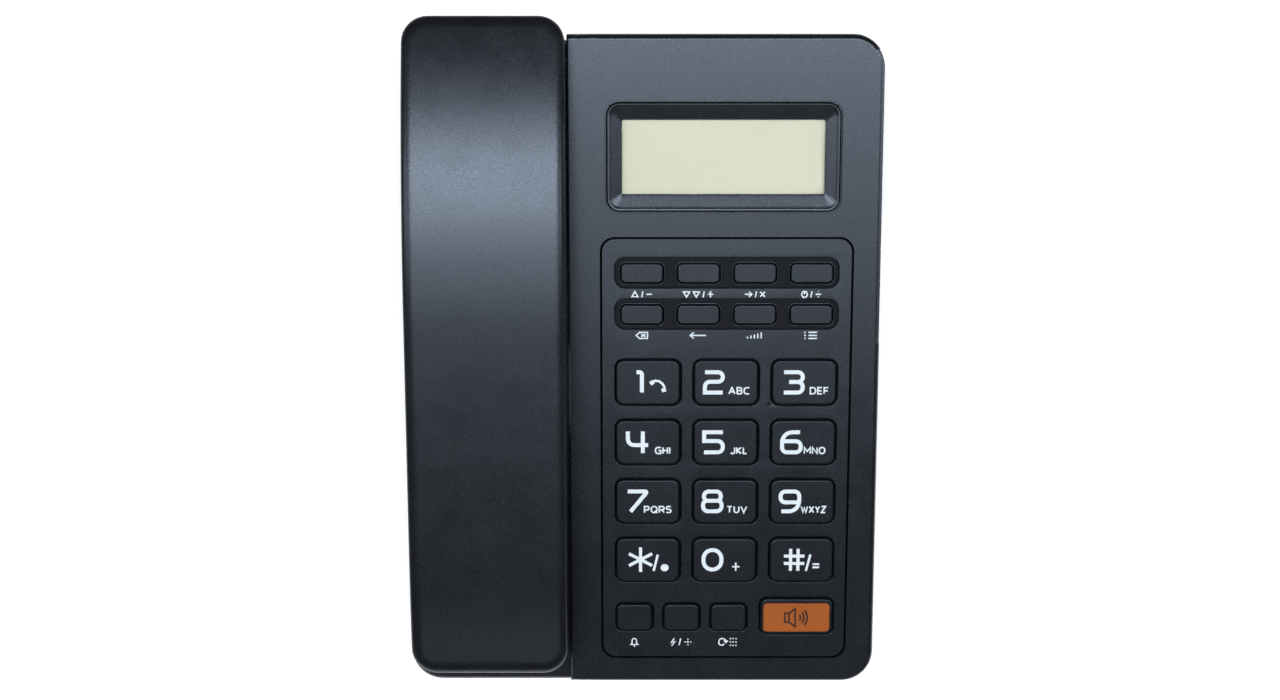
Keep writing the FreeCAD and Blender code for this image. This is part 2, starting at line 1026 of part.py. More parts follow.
def key_mat(keys):
    """A rubber sheet on the board with a dome under each key."""
    lows = [key.outline.y - key.outline.length / 2 for key in keys.values()]
    highs = [key.outline.y + key.outline.length / 2 for key in keys.values()]
    sheet = block(
        panel_left + panel_ledge,
        panel_right - panel_ledge,
        min(lows) - mat_margin,
        max(highs) + mat_margin,
        board_top,
        mat_top,
    )
    sheet = sheet.cut(
        few_sided(
            microphone_x,
            microphone_y,
            microphone_radius + microphone_gap,
            board_top - 1,
            mat_top + 1,
        )
    )
    return joined([sheet] + [dome(key) for key in keys.values()])


def hands_free_microphone():
    return few_sided(
        microphone_x,
        microphone_y,
        microphone_radius,
        board_top,
        board_top + microphone_height,
    )


# Hook


def hook_plunger():
    """A round plunger with a flat collar that presses the switch, and a pin inside the spring."""
    stem = few_sided(plunger_x, plunger_y, plunger_radius, collar_bottom, plunger_top)
    stem = stem.makeChamfer(plunger_chamfer, edges_at_height(stem, plunger_top))
    collar = block(
        plunger_x - collar_half_width,
        plunger_x + collar_arm_length,
        plunger_y - collar_half_width,
        plunger_y + collar_half_width,
        collar_bottom,
        collar_top,
    )
    pin = few_sided(
        plunger_x,
        plunger_y,
        plunger_pin_radius,
        collar_bottom - plunger_pin_length,
        collar_bottom,
    )
    return joined([stem, collar, pin])


def hook_spring():
    """The coil spring under the collar, as a sleeve of its outer and inner size."""
    inner = plunger_pin_radius + hook_spring_gap
    outer = inner + hook_spring_wire
    sleeve = few_sided(plunger_x, plunger_y, outer, hook_board_top, collar_bottom)
    return sleeve.cut(
        few_sided(plunger_x, plunger_y, inner, hook_board_top - 1, collar_bottom + 1)
    )


def hook_board():
    return block(
        hook_board_x - hook_board_width / 2,
        hook_board_x + hook_board_width / 2,
        plunger_y - hook_board_length / 2,
        plunger_y + hook_board_length / 2,
        hook_board_bottom,
        hook_board_top,
    )


def hook_switch():
    x = plunger_x + switch_shift
    return block(
        x - switch_width / 2,
        x + switch_width / 2,
        plunger_y - switch_length / 2,
        plunger_y + switch_length / 2,
        hook_board_top,
        collar_bottom - switch_gap,
    )


# Top cover


def well(cup, floor_z, z_top):
    """Room round one of the handset's cups."""
    return plate(grown(cup, cup_side_gap), floor_z, z_top)


def well_block(cup, floor_z):
    """The walls and floor round a well, before the well is cut."""
    return box_plate(grown(cup, cup_side_gap + well_wall), floor_z - well_wall, 0)


def cover_bosses():
    """Bosses for the base screws, from the bottom cover's pads up into the cover."""
    low = floor_top + screw_pad_height
    return [square_post(x, y, boss_half_width, low, housing_over) for x, y in screw_places()]


def board_posts(places, z_board, z_top):
    """Square posts that end on a board."""
    return [square_post(x, y, post_half_width, z_board, z_top) for x, y in places]


def top_cover():
    """The upper housing: face, cradle, wells for the two cups, bosses and posts."""
    z_low = parting_height
    face = face_side(0, z_low)
    face = face.makeFillet(face_edge_radius, face_rim(face)).cut(cradle_lip())
    cradle = cradle_side(0, z_low)
    cradle = cradle.makeChamfer(cradle_edge_chamfer, cradle_rim(cradle))
    outer = joined([face, cradle])
    hollow = joined(
        [
            face_side(cover_wall, z_low - 1),
            cradle_side(cover_wall, z_low - 1),
        ]
    )
    shell = outer.cut(hollow)

    inside_face = [
        well_block(ear_cup, ear_well_floor),
        well_block(mouth_cup, mouth_well_floor),
        few_sided(
            plunger_x,
            plunger_y,
            plunger_radius + plunger_gap + guide_wall,
            guide_end,
            ear_well_floor,
        ),
    ]
    inside_face += board_posts(board_post_places(), board_top, -cover_wall / 2)
    inside_face += board_posts(hook_post_places(), hook_board_top, ear_well_floor)
    deep = joined([face_side(0, 0), cradle_side(0, 0)])
    added = [out_of_face(shape).common(deep) for shape in inside_face]
    added += [boss.common(deep) for boss in cover_bosses()]
    shell = joined([shell] + added)

    removed = [
        well(ear_cup, ear_well_floor, cut_over),
        well(mouth_cup, mouth_well_floor, cut_over),
        few_sided(
            plunger_x,
            plunger_y,
            plunger_radius + plunger_gap,
            guide_end - 1,
            ear_well_floor + 1,
        ),
        plate(panel, -panel_thickness, cut_over),
        box_plate(grown(panel, -panel_ledge), board_top, 0),
        plate(bezel, -bezel_flange_thickness, cut_over),
        box_plate(grown(bezel, panel_groove - bezel_flange), board_top, 0),
    ]
    cuts = [out_of_face(shape) for shape in removed]
    cuts.append(side_step())
    cuts.append(at_rear_wall(socket_notch(line_plug)))
    cuts.append(at_left_wall(socket_notch(handset_plug)))
    rebate_top = z_low + tongue_height + tongue_clearance
    rebate = footprint_block(tongue_inset - tongue_clearance, z_low - 1, rebate_top)
    cuts.append(rebate.cut(footprint_block(cover_wall, z_low - 2, rebate_top + 1)))
    for x, y in screw_places():
        low = floor_top + screw_pad_height
        cuts.append(few_sided(x, y, screw_radius + screw_gap, low - 1, low + screw_length))
    return shell.cut(cuts).removeSplitter()


# Bottom cover and what is in it


def flat_slot(x, y, length, width, z_low, z_high):
    return block(x - length / 2, x + length / 2, y - width / 2, y + width / 2, z_low, z_high)


def grille_slots():
    """Parallel slots that fill a circle under the loudspeaker."""
    slots = []
    half_count = int((grille_radius - grille_slot_width / 2) / grille_slot_pitch)
    for number in range(-half_count, half_count + 1):
        y = number * grille_slot_pitch
        length = 2 * math.sqrt(grille_radius**2 - y**2)
        slots.append(
            flat_slot(
                speaker_x, speaker_y + y, length, grille_slot_width, -1, floor_top + 1
            )
        )
    return slots


def door_room():
    """The battery door's opening, with grooves for its tongues, open to the rear."""
    opening = block(
        -door_half_width,
        door_half_width,
        door_front_y,
        rear_y + 1,
        -1,
        door_top + door_gap,
    )
    grooves = block(
        -door_half_width - door_tongue_width - door_gap,
        door_half_width + door_tongue_width + door_gap,
        door_front_y,
        rear_y + 1,
        door_top - door_tongue_thickness - door_gap,
        door_top + door_gap,
    )
    return opening.fuse(grooves)


def bottom_cover():
    """The lower housing: a tray with screw pads, battery bay, ribs and loudspeaker grille."""
    tray = footprint_block(0, base_underside, parting_height)
    tray = tray.makeChamfer(bottom_edge_chamfer, edges_at_height(tray, base_underside))
    tray = tray.cut(footprint_block(cover_wall, floor_top, parting_height + 1))
    tongue = footprint_block(
        tongue_inset, parting_height - 1, parting_height + tongue_height
    )
    tongue = tongue.cut(
        footprint_block(cover_wall, floor_top, parting_height + tongue_height + 1)
    )
    pads = [
        square_post(
            x, y, screw_pad_half_width, base_underside + 1, floor_top + screw_pad_height
        )
        for x, y in screw_places()
    ]
    ring_inner = speaker_radius + speaker_ring_gap
    ring = few_sided(
        speaker_x,
        speaker_y,
        ring_inner + speaker_ring_wall,
        base_underside + 1,
        floor_top + speaker_ring_height,
        large_round_sides,
    )
    ring = ring.cut(
        few_sided(
            speaker_x,
            speaker_y,
            ring_inner,
            floor_top,
            floor_top + cut_over,
            large_round_sides,
        )
    )
    bay_box = block(
        -bay_half_width - bay_wall,
        bay_half_width + bay_wall,
        bay_front_y - bay_wall,
        bay_rear_y + bay_wall,
        base_underside + 1,
        bay_roof + bay_wall,
    )
    door_pad = block(
        -door_half_width - door_tongue_width - 2 * bay_wall,
        door_half_width + door_tongue_width + 2 * bay_wall,
        door_front_y - bay_wall,
        rear_y - cover_wall,
        base_underside + 1,
        floor_top + door_pad_height,
    )
    ribs = [
        at_rear_wall(socket_ribs(line_plug)),
        at_left_wall(socket_ribs(handset_plug)),
    ]
    inside = footprint_block(tongue_inset / 2, base_underside, housing_over)
    added = [shape.common(inside) for shape in pads + [ring, bay_box, door_pad] + ribs]
    cover = joined([tray, tongue] + added)

    cuts = grille_slots()
    cuts.append(door_room())
    cuts.append(
        block(
            -bay_half_width,
            bay_half_width,
            bay_front_y,
            bay_rear_y,
            -1,
            bay_roof,
        )
    )
    for x, y in foot_places():
        room = grown(foot_outline(x, y), foot_gap)
        cuts.append(box_plate(room, -1, base_underside + foot_recess))
    seat = floor_top + screw_pad_height - screw_seat_thickness
    for x, y in screw_places():
        pad_top = floor_top + screw_pad_height
        cuts.append(few_sided(x, y, screw_head_radius + screw_recess_gap, -1, seat))
        cuts.append(few_sided(x, y, screw_radius + screw_gap, -1, pad_top + 1))
    cuts.append(at_rear_wall(socket_notch(line_plug)))
    cuts.append(at_left_wall(socket_notch(handset_plug)))
    return cover.cut(cuts).removeSplitter()


def battery_door():
    """A thin plate flush with the underside, with a tongue along each side."""
    sheet = block(
        -door_half_width + door_gap,
        door_half_width - door_gap,
        door_front_y + door_gap,
        rear_y + 1,
        base_underside,
        door_top,
    )
    tongues = block(
        -door_half_width - door_tongue_width,
        door_half_width + door_tongue_width,
        door_front_y + door_gap,
        rear_y + 1,
        door_top - door_tongue_thickness,
        door_top,
    )
    door = joined([sheet, tongues]).common(
        footprint_block(0, base_underside, parting_height)
    )
    grips = [
        flat_slot(
            0,
            rear_y - door_grip_inset - number * door_grip_pitch,
            door_grip_length,
            door_grip_width,
            base_underside - 1,
            base_underside + door_grip_depth,
        )
        for number in range(door_grip_count)
    ]
    return door.cut(grips)


def cell_middle(number):
    return bay_front_y + bay_side_room / 2 + cell_pitch * (number + 0.5)


def battery_cells():
    """Cells side by side, each turned the other way from its neighbour."""
    cells = []
    for number in range(cell_count):
        y = cell_middle(number)
        way = 1 if number % 2 == 0 else -1
        end = cell_length / 2
        can = few_sided(0, 0, cell_radius, -end, end, large_round_sides)
        nub = few_sided(0, 0, cell_nub_radius, end, end + cell_nub_length)
        cell = joined([can, nub])
        cell.rotate(Vector(0, 0, 0), Vector(0, 1, 0), way * 90)
        cell.translate(Vector(0, y, cell_z))
        cells.append(cell)
    return together(cells)


def battery_contacts():
    """A plate on the bay's wall at both ends of each cell, with a stub that meets the cell."""
    contacts = []
    for number in range(cell_count):
        y = cell_middle(number)
        nub_side = 1 if number % 2 == 0 else -1
        for side in (-1, 1):
            nub = cell_nub_length if side == nub_side else 0.0
            meet = side * (cell_length / 2 + nub)
            wall = side * bay_half_width
            sheet = block(
                min(wall, wall - side * contact_plate),
                max(wall, wall - side * contact_plate),
                y - contact_size / 2,
                y + contact_size / 2,
                cell_z - contact_size / 2,
                cell_z + contact_size / 2,
            )
            stub = block(
                min(wall, meet),
                max(wall, meet),
                y - contact_stub / 2,
                y + contact_stub / 2,
                cell_z - contact_stub / 2,
                cell_z + contact_stub / 2,
            )
            contacts.append(joined([sheet, stub]))
    return together(contacts)


def loudspeaker():
    """Rim, tapered basket and magnet."""
    rim_top = floor_top + speaker_rim_height
    basket_top = rim_top + speaker_basket_height
    magnet_top = basket_top + speaker_magnet_height
    outline = (
        (speaker_radius, floor_top),
        (speaker_radius, rim_top),
        (speaker_radius - speaker_ring_wall, rim_top),
        (speaker_magnet_radius, basket_top),
        (speaker_magnet_radius, magnet_top),
    )
    return flat_sided(
        [
            flats_ring(speaker_x, speaker_y, z, radius, large_round_sides)
            for radius, z in outline
        ]
    )


def foot_outline(x, y):
    return Outline(x, y, foot_width, foot_length, foot_chamfer)


def rubber_feet():
    feet = []
    for x, y in foot_places():
        foot = box_plate(foot_outline(x, y), 0, base_underside + foot_recess)
        feet.append(foot.makeChamfer(foot_chamfer, edges_at_height(foot, 0)))
    return together(feet)


# Handset, in the face frame


def arc_point(centre, radius, degrees):
    angle = math.radians(degrees)
    return Vector(
        0, centre.y + radius * math.sin(angle), centre.z + radius * math.cos(angle)
    )


def bend_back(start, tilt, radius, turn):
    """An arc that carries a line falling at tilt degrees on to tilt + turn degrees."""
    angle = math.radians(tilt)
    centre = Vector(
        0, start.y - radius * math.sin(angle), start.z - radius * math.cos(angle)
    )
    middle = arc_point(centre, radius, tilt + turn / 2)
    end = arc_point(centre, radius, tilt + turn)
    return Part.Arc(start, middle, end).toShape(), end


def bar_profile():
    """Side outline of the handset's bar, bent back and hollow at the grip, run past both ends."""
    front = handset_front_setback - profile_run
    rear = handset_rear + profile_run
    flat_start = Vector(0, handset_front_setback + mouth_bend_length, handset_back_height)
    flat_end = Vector(0, handset_rear - ear_bend_start, handset_back_height)

    def mouth_bend(y):
        drop = mouth_bend_radius - math.sqrt(
            mouth_bend_radius**2 - (flat_start.y - y) ** 2
        )
        return Vector(0, y, handset_back_height - drop)

    def sole(y):
        return Vector(0, y, cradle_floor(y) + cradle_gap)

    mouth_arc = Part.Arc(
        mouth_bend(front), mouth_bend((front + flat_start.y) / 2), flat_start
    ).toShape()
    ear_arc, ear_end = bend_back(flat_end, 0.0, ear_bend_radius, ear_bend_turn)
    tip_arc, tip_end = bend_back(ear_end, ear_bend_turn, ear_tip_radius, ear_tip_turn)
    fall = math.tan(math.radians(ear_bend_turn + ear_tip_turn))
    rear_top = Vector(0, rear, tip_end.z - fall * (rear - tip_end.y))
    grip_rear = sole(handset_rear - grip_rear_inset)
    grip_front = sole(handset_front_setback + grip_front_inset)
    hollow = Vector(0, (grip_rear.y + grip_front.y) / 2, grip_hollow_height)
    return Part.Wire(
        [
            mouth_arc,
            Part.makeLine(flat_start, flat_end),
            ear_arc,
            tip_arc,
            Part.makeLine(tip_end, rear_top),
            Part.makeLine(rear_top, sole(rear)),
            Part.makeLine(sole(rear), grip_rear),
            Part.Arc(grip_rear, hollow, grip_front).toShape(),
            Part.makeLine(grip_front, sole(front)),
            Part.makeLine(sole(front), mouth_bend(front)),
        ]
    )


def bar_walls(inset):
    """The bar's upright sides with their round corners."""
    front = handset_front_setback * slope_cos
    rear = handset_rear * slope_cos
    plan = Outline(
        handset_x, (front + rear) / 2, handset_width, rear - front, handset_corner_radius
    )
    walls = plate(grown(plan, -inset), -housing_over, reach)
    walls.rotate(Vector(0, 0, 0), Vector(1, 0, 0), -face_angle)
    return walls


def bar_block(inset):
    """The handset's bar, inset all round."""
    profile = Part.Face(bar_profile())
    if inset > 0:
        profile = profile.makeOffset2D(-inset)
    profile.translate(Vector(handset_x - handset_width, 0, 0))
    prism = profile.extrude(Vector(2 * handset_width, 0, 0))
    return bar_walls(inset).common(prism)


def long_rim(bar, upper):
    """The edge all round the bar's back, or all round its sole."""
    rim = []
    for edge in bar.Edges:
        box = edge.BoundBox
        crosses = box.YLength < 0.5 and box.XLength > handset_width / 2
        upright = box.ZLength > max(box.YLength, box.XLength)
        at_end = (
            box.YMin < handset_front_setback + handset_corner_radius / 2
            or box.YMax > handset_rear - handset_corner_radius / 2
        )
        above = (box.ZMin + box.ZMax) / 2 > parting_z((box.YMin + box.YMax) / 2)
        if above == upper and not upright and (at_end or not crosses):
            rim.append(edge)
    return rim


def parting_points():
    ends = shell_parting_ends
    return (
        Vector(0, handset_front_setback - 5, ends[0]),
        Vector(0, handset_front_setback + handset_length / 2, ends[1]),
        Vector(0, handset_rear + 5, ends[2]),
    )


def parting_z(y):
    """Height of the line between the two handset shells, as a parabola through its points."""
    low, middle, high = parting_points()
    span = middle.y - low.y
    t = (y - low.y) / span
    return low.z + t * (2 * middle.z - 1.5 * low.z - 0.5 * high.z) + t * t * (
        0.5 * low.z - middle.z + 0.5 * high.z
    )


def above_parting():
    """Everything above the curved line between the two shells."""
    low, middle, high = parting_points()
    edges = [
        Part.Arc(low, middle, high).toShape(),
        Part.makeLine(high, Vector(0, high.y, reach)),
        Part.makeLine(Vector(0, high.y, reach), Vector(0, low.y, reach)),
        Part.makeLine(Vector(0, low.y, reach), low),
    ]
    return side_prism(edges, -reach, reach)


def cup(outline, depth):
    """One cup of the handset, from its face up into the bar."""
    solid = plate(outline, -depth, 0)
    return solid.makeChamfer(cup_edge_chamfer, edges_at_height(solid, -depth))


def handset_screw_places():
    return (
        (handset_x, mouth_cup.y + mouth_cup_length / 2 - handset_screw_inset),
        (handset_x, ear_cup.y - ear_cup_length / 2 + handset_screw_inset),
    )


def handset_body():
    """Outer form and hollow of the whole handset."""
    bar = bar_block(0)
    bar = bar.makeChamfer(handset_back_radius * cut_for_radius, long_rim(bar, True))
    bar = bar.makeChamfer(handset_foot_chamfer, long_rim(bar, False))
    outer = joined([bar, cup(ear_cup, ear_cup_depth), cup(mouth_cup, mouth_cup_depth)])
    dish = Part.makeCylinder(
        ear_dish_radius,
        handset_width,
        Vector(
            handset_x - handset_width / 2,
            ear_cup.y,
            -ear_cup_depth + ear_dish_depth - ear_dish_radius,
        ),
        Vector(1, 0, 0),
    )
    hollow = joined(
        [
            bar_block(handset_wall),
            box_plate(grown(ear_cup, -handset_wall), -ear_cup_depth + handset_wall, 0),
            box_plate(
                grown(mouth_cup, -handset_wall), -mouth_cup_depth + handset_wall, 0
            ),
        ]
    )
    return outer.cut(dish), hollow


def receiver_middle():
    return ear_cup.x, ear_cup.y + receiver_shift


def sound_slots():
    """Parallel slots over the receiver and over the microphone."""
    slots = []
    ear = (receiver_middle(), ear_slot_lengths, ear_cup_depth)
    mouth = (microphone_place()[:2], mouth_slot_lengths, mouth_cup_depth)
    for (x, y), lengths, depth in (ear, mouth):
        for number, length in enumerate(lengths):
            along = (number - (len(lengths) - 1) / 2) * sound_slot_pitch
            slots.append(
                flat_slot(
                    x,
                    y + along,
                    length,
                    sound_slot_width,
                    -depth - 1,
                    -depth + handset_wall + 1,
                )
            )
    return slots


def receiver_ribs():
    """Four ribs that hold the receiver in the middle of its cup."""
    x, y = receiver_middle()
    low = -ear_cup_depth + handset_wall
    near = receiver_radius + receiver_rib_gap
    far = near + receiver_rib_width
    half = receiver_rib_length / 2
    high = low + receiver_rib_height
    return [
        block(x + near, x + far, y - half, y + half, low - 1, high),
        block(x - far, x - near, y - half, y + half, low - 1, high),
        block(x - half, x + half, y + near, y + far, low - 1, high),
        block(x - half, x + half, y - far, y - near, low - 1, high),
    ]


def handset_shells():
    """The back shell and the inner shell, with the bosses and tubes that join them."""
    outer, hollow = handset_body()
    shell = outer.cut(hollow)
    shell = shell.cut(at_handset_front(socket_notch(handset_plug)))
    upper = above_parting()
    back = shell.common(upper)
    inner = shell.cut(upper)
    bosses = [
        square_post(
            x, y, handset_boss_half_width, handset_tube_top, handset_back_height
        ).common(outer)
        for x, y in handset_screw_places()
    ]
    holes = [
        few_sided(
            x,
            y,
            handset_screw_radius + handset_screw_gap,
            handset_tube_top - 1,
            handset_tube_top + handset_screw_length,
        )
        for x, y in handset_screw_places()
    ]
    back = joined([back] + bosses).cut(holes)
    head_room = handset_screw_head_radius + handset_head_gap
    tubes = []
    cuts = sound_slots()
    for (x, y), depth in zip(handset_screw_places(), (mouth_cup_depth, ear_cup_depth)):
        tubes.append(
            square_post(
                x, y, head_room + handset_tube_wall, -depth + 1, handset_tube_top
            )
        )
        cuts.append(
            few_sided(
                x, y, head_room, -depth - 1, handset_tube_top - handset_seat_thickness
            )
        )
        cuts.append(
            few_sided(
                x,
                y,
                handset_screw_radius + handset_screw_gap,
                -depth,
                handset_tube_top + 1,
            )
        )
    inner = joined([inner] + receiver_ribs() + tubes).cut(cuts)
    return back.removeSplitter(), inner.removeSplitter()


def receiver_capsule():
    x, y = receiver_middle()
    low = -ear_cup_depth + handset_wall
    return few_sided(
        x, y, receiver_radius, low, low + receiver_height, large_round_sides
    )


def microphone_place():
    return mouth_cup.x, mouth_cup.y - microphone_shift, -mouth_cup_depth + handset_wall


def microphone_boot():
    """A rubber ring round the microphone."""
    x, y, low = microphone_place()
    ring = few_sided(x, y, capsule_radius + boot_wall, low, low + capsule_height)
    return ring.cut(few_sided(x, y, capsule_radius, low - 1, low + capsule_height + 1))


def handset_microphone():
    x, y, low = microphone_place()
    return few_sided(x, y, capsule_radius, low, low + capsule_height)


def handset_weight():
    """A steel bar fixed under the flat of the back shell."""
    top = handset_back_height - handset_wall
    return block(
        handset_x - weight_width / 2,
        handset_x + weight_width / 2,
        handset_front_setback + mouth_bend_length + weight_end_room,
        handset_rear - ear_bend_start - weight_end_room,
        top - weight_height,
        top,
    )


def build():
    """Every node by name, in the world frame."""
    keys = all_keys()
    back, inner = handset_shells()
    in_face = {
        "keypad_panel": keypad_panel(keys),
        "key_strip_lower": key_strip(keys, 0),
        "key_strip_upper": key_strip(keys, 1),
        "display_bezel": display_bezel(),
        "display_window": display_window(),
        "display_panel": display_panel(),
        "main_board": main_board(),
        "key_mat": key_mat(keys),
        "hands_free_microphone": hands_free_microphone(),
        "hook_plunger": hook_plunger(),
        "hook_spring": hook_spring(),
        "hook_board": hook_board(),
        "hook_switch": hook_switch(),
        "handset_back": back,
        "handset_inner": inner,
        "receiver_capsule": receiver_capsule(),
        "handset_microphone": handset_microphone(),
        "microphone_boot": microphone_boot(),
        "handset_weight": handset_weight(),
        "handset_jack": at_handset_front(socket_body(handset_plug)),
    }
    for name, key in keys.items():
        if name == "key_5":
            in_face[name] = marked_key(key)
        elif name == "key_speaker":
            in_face[name] = speaker_cap(key)
            in_face["key_speaker_face"] = speaker_face(key)
        else:
            in_face[name] = key_cap(key)
    nodes = {name: out_of_face(shape) for name, shape in in_face.items()}
    nodes["top_cover"] = top_cover()
    nodes["bottom_cover"] = bottom_cover()
    nodes["battery_door"] = battery_door()
    nodes["battery_cells"] = battery_cells()
    nodes["battery_contacts"] = battery_contacts()
    nodes["loudspeaker"] = loudspeaker()
    nodes["rubber_feet"] = rubber_feet()
    nodes["line_socket"] = at_rear_wall(socket_body(line_plug))
    nodes["handset_socket"] = at_left_wall(socket_body(handset_plug))
    return nodes


for node, solid in build().items():
    solid.exportStep("parts/" + node + ".step")
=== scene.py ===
"""Looks of a corded desk telephone with a caller display: finishes, figures and fine forms."""

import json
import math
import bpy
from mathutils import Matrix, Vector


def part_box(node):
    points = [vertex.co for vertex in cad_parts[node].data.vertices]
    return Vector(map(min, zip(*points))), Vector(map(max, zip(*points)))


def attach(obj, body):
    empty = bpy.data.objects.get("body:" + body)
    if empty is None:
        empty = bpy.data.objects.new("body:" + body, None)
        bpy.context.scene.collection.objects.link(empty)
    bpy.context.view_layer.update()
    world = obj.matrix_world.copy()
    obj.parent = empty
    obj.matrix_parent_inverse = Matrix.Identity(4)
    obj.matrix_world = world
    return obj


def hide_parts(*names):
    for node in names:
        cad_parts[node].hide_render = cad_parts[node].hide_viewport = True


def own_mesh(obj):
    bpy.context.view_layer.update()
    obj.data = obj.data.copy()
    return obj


bl_info = {
    "name": "Caller Display Telephone",
    "version": (1, 0, 0),
    "blender": (4, 5, 0),
    "location": "3D View > Sidebar > Telephone",
    "description": "Builds the finished look of a desk telephone round its measured frame",
    "category": "Object",
}

import bmesh
import bpy
from mathutils import Matrix, Vector

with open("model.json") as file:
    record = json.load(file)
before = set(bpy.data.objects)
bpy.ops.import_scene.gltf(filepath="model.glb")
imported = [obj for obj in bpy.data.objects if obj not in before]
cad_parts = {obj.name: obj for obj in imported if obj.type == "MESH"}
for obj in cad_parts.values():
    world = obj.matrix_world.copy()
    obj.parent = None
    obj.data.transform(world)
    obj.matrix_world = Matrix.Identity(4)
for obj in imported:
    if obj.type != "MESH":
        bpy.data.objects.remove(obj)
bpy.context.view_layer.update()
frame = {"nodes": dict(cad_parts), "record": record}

# Lengths are millimetres in the face frame (x right, y up the sloped face, z out of it),
# unless a name says otherwise. The placed meshes are in metres.
MM = 0.001
FACE_ANGLE = math.radians(11.0)
FRONT_HEIGHT = 22.0
FRONT_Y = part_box("bottom_cover")[0].y / MM
FACE = (
    Matrix.Translation((0, FRONT_Y * MM, FRONT_HEIGHT * MM))
    @ Matrix.Rotation(FACE_ANGLE, 4, "X")
    @ Matrix.Scale(MM, 4)
)
WORLD = Matrix.Scale(MM, 4)

PANEL_THICKNESS = 1.5
PANEL_INSET = 0.4
# How much wider than the panel the ring of painted shade in its groove reaches
PANEL_SHADE_REACH = 0.76
KEY_GAP = 0.68
GAP_SHIFT = Vector((0.12, -0.3))
STRIP_GAP = 0.1
STRIP_KEY_GAP = 0.4
STRIP_GAP_SHIFT = Vector((0.05, -0.15))
STRIP_DEPTH = 0.9
STRIP_RIM_SINK = 0.08
STRIP_RIM_WIDTH = 0.38
PANE_BORDER = 1.6
# What stands higher than this above the face is a key's cap
CAP_LEVEL = 0.3
SPEAKER_KEY_RADIUS = 2.0
# Angle in degrees above which an edge of a shell counts as sharp
SHELL_ANGLE = 32.0

DIAL_KEYS = (
    "key_1", "key_2", "key_3", "key_4", "key_5", "key_6",
    "key_7", "key_8", "key_9", "key_star", "key_0", "key_hash",
)
UPPER_KEYS = ("key_up", "key_down", "key_out", "key_set")
LOWER_KEYS = ("key_delete", "key_back", "key_volume", "key_calls")
SMALL_KEYS = ("key_ring", "key_flash", "key_redial")
STRIPS = {"key_strip_upper": UPPER_KEYS, "key_strip_lower": LOWER_KEYS}
PLAIN_KEYS = DIAL_KEYS + SMALL_KEYS + UPPER_KEYS + LOWER_KEYS


# Settings a user would change


def number_field(name, description, default, **limits):
    return bpy.props.FloatProperty(name=name, description=description, default=default, **limits)


def colour_field(name, description, default):
    return bpy.props.FloatVectorProperty(
        name=name, description=description, default=default, subtype="COLOR", size=3, min=0, max=1
    )


class HousingSettings(bpy.types.PropertyGroup):
    colour: colour_field(
        "Housing Colour", "Black moulded plastic of the shells", (0.0080, 0.0086, 0.0105)
    )
    roughness: number_field(
        "Housing Roughness", "How dull the spark-eroded grain is", 0.26, min=0, max=1
    )
    grain: number_field(
        "Grain Size", "Width of one pit of the moulded grain, in millimetres", 0.42, min=0.05, max=2
    )
    edge: number_field(
        "Edge Rounding", "Round on the shells' sharp edges, in millimetres", 0.22, min=0, max=1
    )


class KeySettings(bpy.types.PropertyGroup):
    dial_radius: number_field(
        "Dial Key Corner", "Corner radius of a dial key, in millimetres", 2.4, min=0.2, max=6
    )
    function_radius: number_field(
        "Function Key Corner", "Corner radius of a function key, in millimetres", 1.5,
        min=0.2, max=3,
    )
    small_radius: number_field(
        "Small Key Corner", "Corner radius of a small key, in millimetres", 1.7, min=0.2, max=4
    )
    edge: number_field(
        "Key Edge", "Round on the top edge of a key, in millimetres", 0.45, min=0.05, max=1.5
    )
    colour: colour_field("Key Colour", "Plastic of the dial keys", (0.0075, 0.008, 0.0098))
    speaker_colour: colour_field(
        "Loudspeaker Key Colour", "Face of the loudspeaker key", (0.345, 0.088, 0.011)
    )


class InkSettings(bpy.types.PropertyGroup):
    colour: colour_field("Ink Colour", "Printed figures and signs", (0.70, 0.77, 0.84))
    thickness: number_field(
        "Ink Thickness", "How far the print stands up, in millimetres", 0.04, min=0.01, max=0.3
    )


class DisplaySettings(bpy.types.PropertyGroup):
    colour: colour_field("Display Colour", "Blank liquid crystal display", (0.63, 0.645, 0.50))


class StageSettings(bpy.types.PropertyGroup):
    camera_height: number_field(
        "Camera Height", "Height of the camera above the table", 0.616,
        subtype="DISTANCE", unit="LENGTH",
    )
    overhead_power: number_field(
        "Overhead Softbox Power", "Power of the softbox above the telephone, in watts", 14.9, min=0
    )
    front_power: number_field(
        "Front Softbox Power", "Power of the weaker softbox in front, in watts", 4.6, min=0
    )
    low_power: number_field(
        "Low Softbox Power", "Power of the dim softbox far in front, in watts", 1.3, min=0
    )
    side_power: number_field(
        "Side Softbox Power", "Power of each dim softbox at the sides, in watts", 8.0, min=0
    )
    floor_colour: colour_field("Floor Colour", "Plain pale floor", (0.86, 0.86, 0.86))


# Nodes


def with_settings(target, **settings):
    for label, value in settings.items():
        setattr(target, label, value)
    return target


def feed(tree, socket, value):
    """Links one or more sockets to an input, or sets the input to a plain value."""
    for source in value if isinstance(value, list) else [value]:
        if isinstance(source, bpy.types.NodeSocket):
            tree.links.new(source, socket)
        else:
            socket.default_value = source


def add(tree, kind, inputs=(), **settings):
    """Adds a node with its settings and inputs, and gives back its outputs."""
    node = with_settings(tree.nodes.new(kind), **settings)
    for label, value in dict(inputs).items():
        feed(tree, node.inputs[label], value)
    return node.outputs


def new_group(kind, name, inputs, outputs):
    """A node group, the sockets that it is given and those that it gives out."""
    tree = bpy.data.node_groups.new(name, kind)
    for side, rows in (("INPUT", inputs), ("OUTPUT", outputs)):
        for label, socket_kind, *default in rows:
            socket = tree.interface.new_socket(
                label, in_out=side, socket_type="NodeSocket" + socket_kind
            )
            if default:
                socket.default_value = default[0]
    given, out = tree.nodes.new("NodeGroupInput"), tree.nodes.new("NodeGroupOutput")
    return tree, given.outputs, out.inputs


